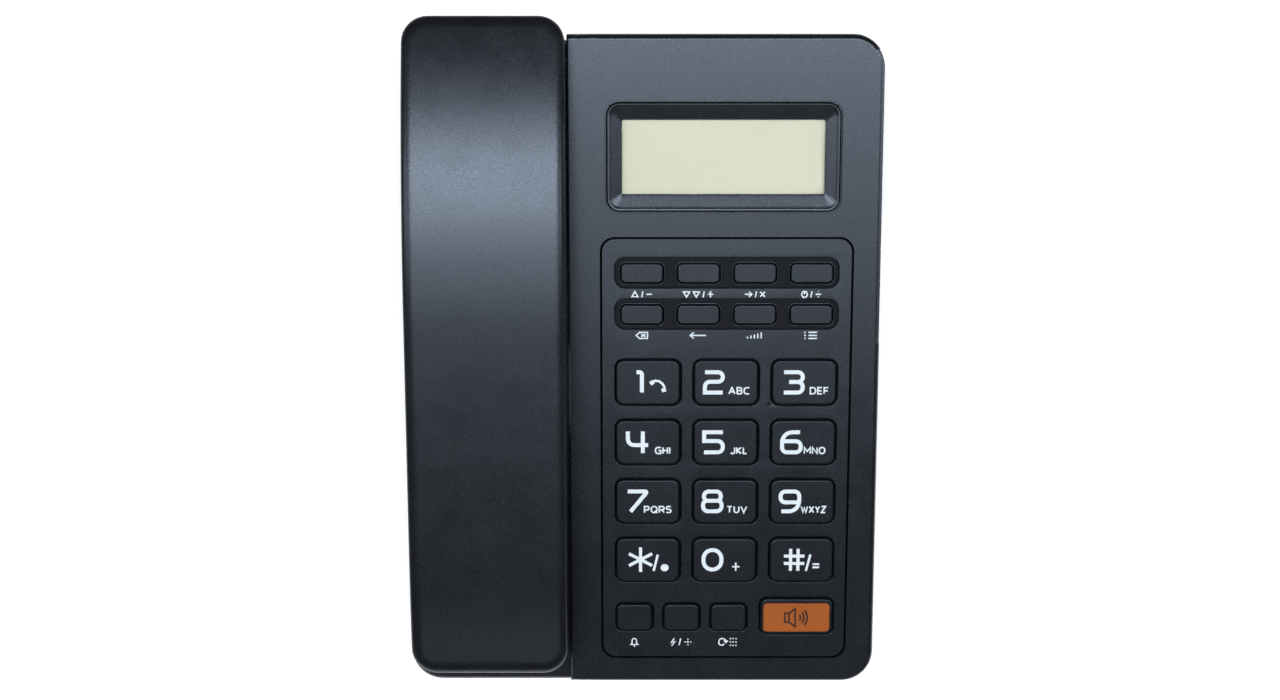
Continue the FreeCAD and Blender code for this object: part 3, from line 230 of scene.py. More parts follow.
def group_in(tree, name, vector, **inputs):
    group = bpy.data.node_groups[name]
    return add(tree, "ShaderNodeGroup", {"Vector": vector, **inputs}, node_tree=group)


def maths(tree, operation, *values):
    return add(tree, "ShaderNodeMath", enumerate(values), operation=operation)[0]


def noise(tree, vector, scale, detail=2.0, roughness=0.5):
    inputs = {"Vector": vector, "Scale": scale, "Detail": detail, "Roughness": roughness}
    return add(tree, "ShaderNodeTexNoise", inputs)["Fac"]


def remapped(tree, value, low, high, new_low, new_high):
    labels = ("Value", "From Min", "From Max", "To Min", "To Max")
    inputs = zip(labels, (value, low, high, new_low, new_high))
    return add(tree, "ShaderNodeMapRange", inputs)["Result"]


def mixed(tree, factor, *colours):
    """Two mixed colours, each a socket or three channels."""
    first, second = (
        colour if isinstance(colour, bpy.types.NodeSocket) else (*colour, 1.0) for colour in colours
    )
    inputs = {"Factor": factor, "A": first, "B": second}
    return add(tree, "ShaderNodeMix", inputs, data_type="RGBA")["Result"]


def bumped(tree, height, strength, distance_mm):
    inputs = {"Strength": strength, "Distance": distance_mm * MM, "Height": height}
    return add(tree, "ShaderNodeBump", inputs)["Normal"]


def grain_group():
    """Spark-eroded grain: a height for bump, and slow changes of tone and shine."""
    tree, given, out = new_group(
        "ShaderNodeTree", "Moulded Grain", (("Vector", "Vector"), ("Size", "Float", 0.4)),
        (("Height", "Float"), ("Tone", "Float"), ("Shine", "Float")),
    )
    vector = given["Vector"]
    scale = maths(tree, "DIVIDE", 1000.0, given["Size"])
    fine = noise(tree, vector, scale, 2.5, 0.6)
    pit_scale = maths(tree, "MULTIPLY", scale, 1.7)
    pits = add(tree, "ShaderNodeTexVoronoi", {"Vector": vector, "Scale": pit_scale})
    pit = remapped(tree, pits["Distance"], 0.0, 0.6, 0.0, 0.5)
    feed(tree, out["Height"], maths(tree, "ADD", fine, pit))
    blotch = noise(tree, vector, 90.0, 3.0, 0.55)
    for label, fine_share, blotch_share in (("Tone", 0.5, 0.5), ("Shine", 0.7, 0.3)):
        parts = (
            maths(tree, "MULTIPLY", fine, fine_share), maths(tree, "MULTIPLY", blotch, blotch_share)
        )
        feed(tree, out[label], maths(tree, "ADD", *parts))


def dust_group():
    """Sparse pale specks of lint."""
    tree, given, out = new_group(
        "ShaderNodeTree", "Lint Specks", (("Vector", "Vector"), ("Amount", "Float", 0.5)),
        (("Mask", "Float"),),
    )
    cells = add(tree, "ShaderNodeTexVoronoi", {"Vector": given["Vector"], "Scale": 190.0})
    speck = remapped(tree, cells["Distance"], 0.02, 0.05, 1.0, 0.0)
    picked = remapped(tree, noise(tree, given["Vector"], 60.0, 1.0), 0.56, 0.62, 0.0, 1.0)
    mask = maths(tree, "MULTIPLY", speck, picked)
    feed(tree, out["Mask"], maths(tree, "MULTIPLY", mask, given["Amount"]))


def groove_group():
    """Mask for painted shade: what lies deeper than a given depth under the sloped face, in
    millimetres.
    """
    tree, given, out = new_group(
        "ShaderNodeTree", "Groove Shade", (("Vector", "Vector"), ("Depth", "Float", 0.3)),
        (("Mask", "Float"),),
    )
    normal = FACE.to_3x3() @ Vector((0, 0, 1 / MM))
    inputs = {0: given["Vector"], 1: normal}
    height = add(tree, "ShaderNodeVectorMath", inputs, operation="DOT_PRODUCT")["Value"]
    above = maths(tree, "SUBTRACT", height, normal.dot(FACE.translation))
    deep = maths(tree, "ADD", maths(tree, "MULTIPLY", above, 1 / MM), given["Depth"])
    feed(tree, out["Mask"], remapped(tree, deep, -0.05, 0.05, 1.0, 0.0))


# Finishes


def new_material(name):
    """A material, its node tree and its Object coordinates."""
    material = bpy.data.materials.new(name)
    material.use_nodes = True
    tree = material.node_tree
    return material, tree, add(tree, "ShaderNodeTexCoord")["Object"]


def surfaced(material, inputs):
    """Feeds the material's Principled shader."""
    tree = material.node_tree
    for label, value in inputs.items():
        feed(tree, tree.nodes["Principled BSDF"].inputs[label], value)
    return material


def scaled(colour, factor):
    return tuple(min(channel * factor, 1.0) for channel in colour)


def plastic(
    name, colour, roughness, grain_mm, depth_mm=0.02, specular=0.5, lint=0.25, spread=0.12
):
    """Moulded plastic or rubber: toned colour, uneven shine, grain and a little lint."""
    material, tree, vector = new_material(name)
    grain = group_in(tree, "Moulded Grain", vector, Size=grain_mm)
    tone = remapped(tree, grain["Tone"], 0.35, 0.65, 0.0, 1.0)
    base = mixed(tree, tone, scaled(colour, 1 - spread), scaled(colour, 1 + spread))
    specks = group_in(tree, "Lint Specks", vector, Amount=lint)["Mask"]
    return surfaced(material, {
        "Base Color": mixed(tree, specks, base, (0.35, 0.36, 0.38)),
        "Roughness": remapped(tree, grain["Shine"], 0.35, 0.65, roughness - 0.05, roughness + 0.05),
        "Specular IOR Level": specular,
        "Specular Tint": (0.69, 0.81, 1.0, 1.0),
        "Normal": bumped(tree, grain["Height"], 0.45, depth_mm),
    })


def painted_gap_shade(material, depth_mm):
    """Paints shade into a finish: dull and black below a depth under the face, as a narrow gap in
    shade looks.
    """
    tree = material.node_tree
    vector = tree.nodes["Texture Coordinate"].outputs["Object"]
    mask = group_in(tree, "Groove Shade", vector, Depth=depth_mm)["Mask"]
    inputs = tree.nodes["Principled BSDF"].inputs
    base, rough = (inputs[label].links[0].from_socket for label in ("Base Color", "Roughness"))
    return surfaced(material, {
        "Base Color": mixed(tree, mask, base, (0.001, 0.001, 0.001)),
        "Roughness": maths(tree, "MAXIMUM", rough, mask),
    })


def metal(name, colour, roughness, brushed=False):
    """Plated or brushed metal with fine streaks."""
    material, tree, vector = new_material(name)
    stretch = (1.0, 30.0 if brushed else 1.0, 1.0)
    mapping = add(tree, "ShaderNodeMapping", {"Vector": vector, "Scale": stretch})
    streak = noise(tree, mapping["Vector"], 900.0, 3.0, 0.6)
    return surfaced(material, {
        "Base Color": mixed(tree, streak, scaled(colour, 0.85), colour),
        "Roughness": remapped(tree, streak, 0.3, 0.7, roughness - 0.06, roughness + 0.08),
        "Metallic": 1.0,
        "Normal": bumped(tree, streak, 0.2, 0.01),
    })


def display_material(name, colour):
    """Blank liquid crystal glass with its faint reflector weave."""
    material, tree, vector = new_material(name)
    weave, cloud = noise(tree, vector, 2600.0, 1.0), noise(tree, vector, 30.0, 1.0)
    return surfaced(material, {
        "Base Color": mixed(tree, weave, scaled(colour, 0.985), scaled(colour, 1.015)),
        "Roughness": remapped(tree, cloud, 0.3, 0.7, 0.5, 0.6),
        "Specular IOR Level": 0.2,
    })


def window_material(name):
    """Clear pane, smeared a little."""
    material, tree, vector = new_material(name)
    return surfaced(material, {
        "Base Color": (0.80, 0.82, 0.80, 1.0),
        "Roughness": remapped(tree, noise(tree, vector, 60.0, 3.0), 0.3, 0.7, 0.25, 0.4),
        "Specular IOR Level": 0.3,
        "Alpha": 0.05,
    })


def board_material(name):
    """Green lacquered board with faint copper tracks."""
    material, tree, vector = new_material(name)
    tracks = add(tree, "ShaderNodeTexBrick", {
        "Vector": vector,
        "Scale": 180.0,
        "Mortar Size": 0.03,
        "Color1": (0.02, 0.12, 0.045, 1),
        "Color2": (0.025, 0.14, 0.05, 1),
        "Mortar": (0.06, 0.22, 0.08, 1),
    })
    return surfaced(material, {"Base Color": tracks["Color"], "Roughness": 0.35})


MATERIALS = {}


def make_materials():
    """Every finish by the record's slot name."""
    grain_group()
    dust_group()
    groove_group()
    scene = bpy.context.scene
    housing, keys = scene.telephone_housing, scene.telephone_keys
    rough = housing.roughness
    panel = plastic("panel_plastic", housing.colour, rough, housing.grain * 0.9)
    key_plastic = plastic("key_plastic", keys.colour, rough + 0.03, 0.38, specular=0.4)
    ink, ink_look = scene.telephone_ink.colour, (0.55, 0.25, 0.004, 0.3, 0.0)
    MATERIALS.update(
        housing=plastic("housing_plastic", housing.colour, rough, housing.grain),
        # Painted shade: the panel's finish turns black and dull deeper than 0.17 mm under the face
        panel=painted_gap_shade(panel, 0.17),
        strip=plastic("strip_plastic", (0.008, 0.008, 0.010), 0.6, 0.35, specular=0.12),
        # Painted shade: the keys' finish turns black and dull below the face
        key_plastic=painted_gap_shade(key_plastic, 0.0),
        # Painted shade: near-black, dull finish of the rings laid at the bottom of narrow gaps
        groove=plastic("groove_painted_shade", (0.002, 0.002, 0.002), 0.95, 0.5, 0.005, 0.02, 0.0),
        speaker_key=plastic(
            "speaker_key_face", keys.speaker_colour, 0.42, 0.3, 0.01, 0.25, 0.0, 0.06
        ),
        mat=plastic("mat_rubber", (0.10, 0.10, 0.10), 0.7, 0.5, lint=0.0),
        foot=plastic("foot_rubber", (0.02, 0.02, 0.021), 0.8, 0.6, 0.03, 0.3),
        switch=plastic("switch_plastic", (0.015, 0.015, 0.016), 0.5, 0.3),
        socket=plastic("socket_plastic", (0.012, 0.012, 0.013), 0.25, 0.3, 0.004, lint=0.0),
        cell=plastic("cell_wrap", (0.30, 0.31, 0.33), 0.35, 0.6, 0.005, lint=0.0),
        display=display_material("display_glass", scene.telephone_display.colour),
        window=window_material("window_clear"),
        board=board_material("board_lacquer"),
        spring=metal("spring_steel", (0.60, 0.60, 0.62), 0.3),
        speaker=metal("speaker_metal", (0.35, 0.35, 0.36), 0.4, True),
        capsule=metal("capsule_metal", (0.70, 0.70, 0.70), 0.35, True),
        weight=metal("weight_steel", (0.45, 0.45, 0.46), 0.4, True),
        contact=metal("contact_nickel", (0.65, 0.64, 0.60), 0.28),
        ink=plastic("figure_ink", ink, *ink_look, 0.03),
        dark_ink=plastic("sign_ink", (0.03, 0.012, 0.007), *ink_look, 0.05),
        gold=metal("gold_wire", (0.83, 0.62, 0.25), 0.22),
        screw=metal("screw_steel", (0.35, 0.35, 0.37), 0.32),
        felt=plastic("felt_cloth", (0.015, 0.015, 0.015), 0.9, 0.8, 0.08, 0.2),
    )


# Mesh helpers


def added(name, data):
    """A new object in the scene."""
    made = bpy.data.objects.new(name, data)
    bpy.context.scene.collection.objects.link(made)
    return made


def modified(made, name, kind, **settings):
    return with_settings(made.modifiers.new(name, kind), **settings)


def as_mesh(work, name):
    mesh = bpy.data.meshes.new(name)
    work.to_mesh(mesh)
    work.free()
    return mesh


def shaded(mesh, angle):
    """Smooth shading up to an angle in degrees."""
    mesh.shade_smooth()
    mesh.set_sharp_from_angle(angle=math.radians(angle))


def clean(mesh, angle=35.0):
    """Merged points, outward faces and smooth shading up to an angle."""
    work = bmesh.new()
    work.from_mesh(mesh)
    bmesh.ops.remove_doubles(work, verts=work.verts, dist=1e-4)
    bmesh.ops.recalc_face_normals(work, faces=work.faces)
    work.to_mesh(mesh)
    work.free()
    shaded(mesh, angle)


def dressed(name, mesh, body, slot, replaced, finish=None, edge_mm=0.0):
    """A placed mesh as an object at the origin that rides on a body."""
    mesh.materials.clear()
    mesh.materials.append(MATERIALS[finish or slot])
    made = added(name, mesh)
    if edge_mm:
        modified(
            made, "edge_round", "BEVEL", width=edge_mm * MM, segments=2,
            limit_method="ANGLE", angle_limit=math.radians(SHELL_ANGLE),
        )
    # Normals follow the large faces, so flats stay flat beside their rounds
    modified(
        made, "even_normals", "WEIGHTED_NORMAL", mode="FACE_AREA", weight=50, keep_sharp=True
    )
    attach(made, body)
    if replaced:
        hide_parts(*replaced)
    return made


def piece(name, mesh, body, slot, replaced=(), angle=35.0, finish=None, placement=FACE):
    """A finished mesh, drawn in the placement's frame, as a piece on a body."""
    clean(mesh, angle)
    mesh.transform(placement)
    return dressed(name, mesh, body, slot, replaced, finish)


def quarter_turn(steps):
    return [math.pi / 2 * step / steps for step in range(steps + 1)]


def rounded_ring(centre, width, length, radius, z, steps=8):
    """Points of a rectangle with round corners, anticlockwise from the right rear corner."""
    points = []
    radius = min(radius, width / 2, length / 2)
    for quarter, (x, y) in enumerate(((1, 1), (-1, 1), (-1, -1), (1, -1))):
        reach = (x * (width / 2 - radius), y * (length / 2 - radius))
        middle = Vector((centre[0] + reach[0], centre[1] + reach[1]))
        for step in range(steps + 1):
            angle = math.pi / 2 * (quarter + step / steps)
            place = middle.x + radius * math.cos(angle), middle.y + radius * math.sin(angle), z
            points.append(Vector(place))
    return points


def round_ring(centre, radius, z, steps=32):
    x, y = centre
    turns = [2 * math.pi / steps * k for k in range(steps)]
    return [Vector((x + radius * math.cos(a), y + radius * math.sin(a), z)) for a in turns]


def skinned(work, rings):
    """Skins through rings with as many points each, and gives back their mesh points."""
    loops = [[work.verts.new(point) for point in ring] for ring in rings]
    count = len(loops[0])
    for lower, upper in zip(loops, loops[1:]):
        for k in range(count):
            follower = (k + 1) % count
            work.faces.new((lower[k], lower[follower], upper[follower], upper[k]))
    return loops


def stacked(rings, closed=True):
    """A mesh skinned through rings; closed caps both ends."""
    work = bmesh.new()
    loops = skinned(work, rings)
    if closed:
        work.faces.new(list(reversed(loops[0])))
        work.faces.new(loops[-1])
    return as_mesh(work, "stack")


def joined_meshes(meshes):
    work = bmesh.new()
    for mesh in meshes:
        work.from_mesh(mesh)
    return as_mesh(work, "joined")


def evaluated_mesh(made):
    """The plain mesh of an object with its modifiers; the object is removed."""
    bpy.context.view_layer.update()
    graph = bpy.context.evaluated_depsgraph_get()
    mesh = bpy.data.meshes.new_from_object(made.evaluated_get(graph))
    bpy.data.objects.remove(made)
    return mesh


def add_line(curve, places, closed=False):
    """Straight runs through places in a curve; gives back the curve's points."""
    spline = curve.splines.new("POLY")
    spline.points.add(len(places) - 1)
    spline.use_cyclic_u = closed
    for point, place in zip(spline.points, places):
        point.co = (*place, 1)
    return spline.points


def pierced_sheet(rings, z_low, z_high, edge):
    """A flat sheet: the first ring is its outline, the others its holes, all edges rounded."""
    curve = with_settings(
        bpy.data.curves.new("sheet", "CURVE"), dimensions="2D", fill_mode="BOTH",
        extrude=(z_high - z_low) / 2 - edge, bevel_depth=edge, bevel_resolution=2, offset=-edge,
    )
    for ring in rings:
        add_line(curve, [(point.x, point.y, 0) for point in ring], True)
    mesh = evaluated_mesh(added("sheet", curve))
    mesh.transform(Matrix.Translation((0, 0, (z_low + z_high) / 2)))
    return mesh


def grown(name, data, group, make_group, inputs):
    """The mesh that a Geometry Nodes group makes from the data."""
    made = added(name, data)
    tree = bpy.data.node_groups.get(group) or make_group(group)
    modifier = modified(made, "grow", "NODES", node_group=tree)
    for item in tree.interface.items_tree:
        if item.name in inputs:
            modifier[item.identifier] = inputs[item.name]
    return evaluated_mesh(made)


# Places read from the frame


def box_mm(node):
    return [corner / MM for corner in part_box(node)]


def face_points(node):
    """A node's points in the face frame, in millimetres."""
    back = FACE.inverted()
    return [back @ vertex.co for vertex in frame["nodes"][node].data.vertices]


def extent(points):
    """Lowest and highest x, y and z of points."""
    return [[pick(point[k] for point in points) for k in range(3)] for pick in (min, max)]


def outline_above(node, z):
    """Middle, width, length and top of what a node has above a height in the face frame."""
    low, high = extent([point for point in face_points(node) if point.z > z])
    middle = ((low[0] + high[0]) / 2, (low[1] + high[1]) / 2)
    return middle, high[0] - low[0], high[1] - low[1], high[2]


def cap_outline(key):
    return outline_above(key, CAP_LEVEL)


def key_radius(node):
    settings = bpy.context.scene.telephone_keys
    if node in DIAL_KEYS:
        return settings.dial_radius
    if node in SMALL_KEYS:
        return settings.small_radius
    return SPEAKER_KEY_RADIUS if node == "key_speaker" else settings.function_radius


def merged_copy(node):
    """A copy of a node's mesh with its loose triangles merged into whole faces."""
    mesh = frame["nodes"][node].data.copy()
    work = bmesh.new()
    work.from_mesh(mesh)
    bmesh.ops.remove_doubles(work, verts=work.verts, dist=2e-6)
    bmesh.ops.dissolve_limit(
        work, angle_limit=math.radians(0.3), verts=work.verts, edges=work.edges
    )
    work.to_mesh(mesh)
    work.free()
    for name in [layer.name for layer in mesh.uv_layers]:
        mesh.uv_layers.remove(mesh.uv_layers[name])
    return mesh


def shell_copy(node, name, slot, edge_mm, angle=SHELL_ANGLE):
    """A node's own form, shaded smoothly, with small rounds on its sharp edges."""
    mesh = merged_copy(node)
    shaded(mesh, angle)
    return dressed(name, mesh, body_of(node), slot, [node], edge_mm=edge_mm)


def body_of(node):
    for body, members in frame["record"]["behaviour"]["bodies"].items():
        if node in members:
            return body
    raise RuntimeError("no body holds " + node)


# Figures drawn as strokes, in a box one high and as wide as the figure's own share. A stroke is
# a row of points "x,y", or "x,y,radius" where it turns in a round; "o" closes it to a loop.
FIGURES = {
    "0": (0.90, "0,0,.45 1,0,.45 1,1,.45 0,1,.45 o"),
    "1": (0.38, "0,1 1,1,.12 1,0"),
    "2": (0.88, "0,1 1,1,.24 1,.53,.24 0,.53,.24 0,0 1,0"),
    "3": (0.92, "0,1 1,1,.24 1,.52,.24 .28,.52 | .28,.52 1,.52,.24 1,0,.24 0,0"),
    "4": (0.94, "0,1.04 0,.36,.3 1.06,.36 | .78,1.04 .78,-.04"),
    "5": (0.92, "1,1 0,1 0,.56 1,.56,.24 1,0,.24 0,0"),
    "6": (0.92, ".95,1 0,1,.5 0,0,.24 1,0,.24 1,.55,.24 .03,.55"),
    "7": (0.86, "0,1 1,1,.05 .14,-.02"),
    "8": (
        0.92, "0,0,.25 1,0,.25 1,.53,.2 0,.53,.2 o | .05,.53,.2 .95,.53,.2 .95,1,.22 .05,1,.22 o"
    ),
    "9": (0.92, ".05,0 1,0,.5 1,1,.24 0,1,.24 0,.45,.24 .97,.45"),
    "*": (0.98, ".5,-.04 .5,1.04 | 0,.24 1,.76 | 0,.76 1,.24"),
    "#": (0.86, ".3,-.04 .3,1.04 | .72,-.04 .72,1.04 | -.08,.68 1.08,.68 | -.08,.32 1.08,.32"),
    "/": (0.34, "0,0 1,1"),
    "A": (0.95, "0,0 .5,1 1,0 | .2,.33 .8,.33"),
    "B": (0.8, "0,0 0,1 .93,1,.25 .93,.52,.22 0,.52 | 0,0 1,0,.25 1,.52,.25 0,.52"),
    "C": (0.85, "1,1 0,1,.4 0,0,.4 1,0"),
    "D": (0.85, "0,0 1,0,.42 1,1,.42 0,1 o"),
    "E": (0.72, "1,1 0,1 0,0 1,0 | 0,.5 .9,.5"),
    "F": (0.7, "1,1 0,1 0,0 | 0,.48 .9,.48"),
    "G": (0.88, "1,1 0,1,.4 0,0,.4 1,0,.1 1,.48 .55,.48"),
    "H": (0.75, "0,0 0,1 | 1,0 1,1 | 0,.5 1,.5"),
    "I": (0.0, "0,0 0,1"),
    "J": (0.62, "1,1 1,0,.3 0,0,.1 0,.2"),
    "K": (0.75, "0,0 0,1 | 1,1 .1,.5 1,0"),
    "L": (0.62, "0,1 0,0 1,0"),
    "M": (0.95, "0,0 0,1 .5,.35 1,1 1,0"),
    "N": (0.78, "0,0 0,1 1,0 1,1"),
    "O": (0.88, "0,0,.42 1,0,.42 1,1,.42 0,1,.42 o"),
    "P": (0.75, "0,0 0,1 1,1,.26 1,.44,.26 0,.44"),
    "Q": (0.88, "0,0,.42 1,0,.42 1,1,.42 0,1,.42 o | .6,.3 1.05,-.05"),
    "R": (0.78, "0,0 0,1 1,1,.26 1,.44,.26 0,.44 | .55,.44 1.05,0"),
    "S": (0.75, "1,1 0,1,.24 0,.52,.24 1,.52,.24 1,0,.24 0,0"),
    "T": (0.8, "0,1 1,1 | .5,1 .5,0"),
    "U": (0.8, "0,1 0,0,.36 1,0,.36 1,1"),
    "V": (0.9, "0,1 .5,0 1,1"),
    "W": (1.15, "0,1 .27,0 .5,.8 .73,0 1,1"),
    "X": (0.85, "0,1 1,0 | 0,0 1,1"),
    "Y": (0.85, "0,1 .5,.48 1,1 | .5,.48 .5,0"),
    "Z": (0.78, "0,1 1,1 0,0 1,0"),
    "-": (0.9, "0,.5 1,.5"),
    "+": (0.9, "0,.5 1,.5 | .5,0 .5,1"),
    "x": (0.8, "0,.1 1,.9 | 0,.9 1,.1"),
    "=": (0.85, "0,.3 1,.3 | 0,.7 1,.7"),
    "divide": (0.9, "0,.5 1,.5 | .42,.9 .58,.9 | .42,.1 .58,.1"),
    "up": (1.0, "0,.1 1,.1 .5,.95 o"),
    "down": (1.0, "0,.9 .5,.05 1,.9 o"),
    "out": (1.1, "0,.5 1,.5 | .6,.95 1,.5 .6,.05"),
    "back": (2.3, "0,.5 1,.5 | .22,1 0,.5 .22,0"),
    "set": (0.9, "0,0,.45 1,0,.45 1,1,.45 0,1,.45 o | .5,.5 .5,1.1"),
    "delete": (1.7, ".3,0 1,0 1,1 .3,1 0,.5 o | .45,.3 .8,.7 | .45,.7 .8,.3"),
    "volume": (2.0, "0,0 0,.3 | .25,0 .25,.48 | .5,0 .5,.65 | .75,0 .75,.83 | 1,0 1,1"),
    "list": (1.9, "0,0 .12,0 | .34,0 1,0 | 0,.5 .12,.5 | .34,.5 1,.5 | 0,1 .12,1 | .34,1 1,1"),
    "bright": (
        1.0, "0,.5 .16,.5 | .84,.5 1,.5 | .5,0 .5,.16 | .5,.84 .5,1 | .36,.5 .64,.5 | .5,.36 .5,.64"
    ),
    "grid": (1.0, " | ".join(f"0,{y} .2,{y} | .4,{y} .6,{y} | .8,{y} 1,{y}" for y in (0, 0.5, 1))),
    "bell": (1.0, "0,.12 .18,.3 .18,1,.3 .82,1,.3 .82,.3 1,.12 o | .38,-.1 .62,-.1"),
    "flash": (0.7, ".8,1.05 .1,.42 .9,.55 .2,-.08"),
    "again": (1.0, ".78,.2 .5,0,.3 0,0,.45 0,1,.45 1,1,.45 1,.5 | .72,.72 1,.42 1.28,.72"),
}


def painted(tree, geometry, material, out):
    """Ends a tree: its geometry made real, with a material."""
    real = add(tree, "GeometryNodeRealizeInstances", {"Geometry": geometry})[0]
    inputs = {"Geometry": real, "Material": material}
    feed(tree, out, add(tree, "GeometryNodeSetMaterial", inputs)[0])
    return tree


def stroke_tree(name):
    """Strokes with rounded turns and flat tops, joined into one closed form."""
    tree, given, out = new_group(
        "GeometryNodeTree", name,
        (
            ("Strokes", "Geometry"), ("Round Steps", "Int", 7),
            ("Print Height", "Float", 1.0), ("Ink", "Material"),
        ),
        (("Print", "Geometry"),),
    )
    turns = add(tree, "GeometryNodeFilletCurve", {
        "Curve": given["Strokes"],
        "Count": given["Round Steps"],
        "Radius": add(tree, "GeometryNodeInputCurveTilt")[0],
        "Limit Radius": True,
    }, mode="POLY")[0]
    straight = add(tree, "GeometryNodeSetCurveTilt", {"Curve": turns, "Tilt": 0.0})[0]
    level = add(tree, "GeometryNodeSetCurveNormal", {"Curve": straight}, mode="Z_UP")[0]
    section = {"Width": 1.0, "Height": given["Print Height"]}
    sweep = add(tree, "GeometryNodeCurveToMesh", {
        "Curve": level,
        "Profile Curve": add(tree, "GeometryNodeCurvePrimitiveQuadrilateral", section)[0],
        "Scale": add(tree, "GeometryNodeInputRadius")[0],
        "Fill Caps": True,
    })[0]
    inputs = {"Mesh 2": sweep, "Self Intersection": True}
    union = add(tree, "GeometryNodeMeshBoolean", inputs, operation="UNION", solver="EXACT")[0]
    return painted(tree, union, given["Ink"], out["Print"])


def figure_strokes(symbol, left, bottom, height, stroke):
    """One figure's strokes: points with their widths and turn radii, and its full width."""
    share, shapes = FIGURES[symbol]
    inner_height = height - stroke
    inner_width = share * height - stroke if share else 0.0
    strokes = []
    for shape in shapes.split(" | "):
        loop = shape.endswith(" o")
        points = []
        for entry in shape.removesuffix(" o").split():
            x, y, turn = [float(part) for part in (entry + ",0").split(",")[:3]]
            place = (left + stroke / 2 + x * inner_width, bottom + stroke / 2 + y * inner_height)
            points.append((Vector(place), turn * inner_height))
        strokes.append((mitred(points, loop, stroke), loop))
    return strokes, inner_width + stroke


def mitred(points, loop, stroke):
    """Widens a stroke at its sharp corners, so that both runs keep their width."""
    made = []
    count = len(points)
    for k, (place, turn) in enumerate(points):
        width = stroke
        if turn == 0 and (loop or 0 < k < count - 1):
            before = (place - points[k - 1][0]).normalized()
            after = (points[(k + 1) % count][0] - place).normalized()
            width = stroke / max(math.cos(before.angle(after) / 2), 0.45)
        made.append((place, turn, width))
    return made


def printed(strokes, z, ink):
    """A mesh of the strokes, standing on height z in the face frame."""
    curve = with_settings(bpy.data.curves.new("strokes", "CURVE"), dimensions="3D")
    for points, loop in strokes:
        line = add_line(curve, [(place.x, place.y, 0) for place, _, _ in points], loop)
        for point, (_, turn, width) in zip(line, points):
            point.tilt, point.radius = turn, width
    inputs = {"Round Steps": 7, "Print Height": 1.0, "Ink": MATERIALS[ink]}
    mesh = grown("strokes", curve, "Printed Strokes", stroke_tree, inputs)
    thickness = bpy.context.scene.telephone_ink.thickness
    for vertex in mesh.vertices:
        vertex.co.z = z + (thickness if vertex.co.z > 0 else -thickness / 2)
    return mesh


def text_strokes(symbols, left, bottom, height, stroke, gap):
    """Figures side by side; a gap between them is a share of the height."""
    strokes = []
    for symbol in symbols:
        made, width = figure_strokes(symbol, left, bottom, height, stroke)
        strokes += made
        left += width + gap * height
    return strokes, left - gap * height


# Pieces


class TELEPHONE_OT_base_shells(bpy.types.Operator):
    """Top and bottom covers of the base, with smooth rounds and fine edges"""

    bl_idname = "telephone.base_shells"
    bl_label = "Base Shells"

    def execute(self, context):
        edge = context.scene.telephone_housing.edge
        shell_copy("top_cover", "base_top_shell", "housing", edge)
        shell_copy("bottom_cover", "base_bottom_shell", "housing", edge)
        return {"FINISHED"}


HANDSET_TOP = 19.0
FLAT_START, FLAT_END = 48.0, 122.0
MOUTH_BEND, EAR_BEND = 310.0, 326.5
# Three points, y and height, of the joint between the handset's shells
PARTING = ((0.8, 5.5), (109.05, 8.0), (217.3, -2.5))


def bar_height(y):
    """Height of the handset's back above the face, y up the face."""
    past, bend = (FLAT_START - y, MOUTH_BEND) if y < FLAT_START else (y - FLAT_END, EAR_BEND)
    return HANDSET_TOP - bend + math.sqrt(bend**2 - max(past, 0.0) ** 2)


def parting_height(y):
    """Height of the joint between the handset's shells above the face."""
    (y0, z0), (y1, z1), (_, z2) = PARTING
    t = (y - y0) / (y1 - y0)
    return z0 + t * (2 * z1 - 1.5 * z0 - 0.5 * z2) + t * t * (0.5 * z0 - z1 + 0.5 * z2)


def world_height(along, profile):
    """World height of a profile drawn over the face, at a world y in millimetres."""
    slope, rise = math.cos(FACE_ANGLE), math.sin(FACE_ANGLE)
    y = (along - FRONT_Y) / slope
    for _ in range(8):
        y = (along - FRONT_Y + profile(y) * rise) / slope
    return FRONT_HEIGHT + y * rise + profile(y) * slope


def bar_ring(middle, width, length, radius, height):
    """The bar's plan, raised to a height that depends on y."""
    stations, turns = 56, quarter_turn(9)
    x, low, high = width / 2 - radius, middle[1] - length / 2, middle[1] + length / 2
    right = [(x + radius * math.sin(a), low + radius - radius * math.cos(a)) for a in turns]
    for step in range(1, stations):
        right.append((width / 2, low + radius + (length - 2 * radius) * step / stations))
    right += [(x + radius * math.cos(a), high - radius + radius * math.sin(a)) for a in turns]
    return [
        Vector((middle[0] + side * x, y, height(y)))
        for side, row in ((1, right), (-1, right[::-1]))
        for x, y in row
    ]


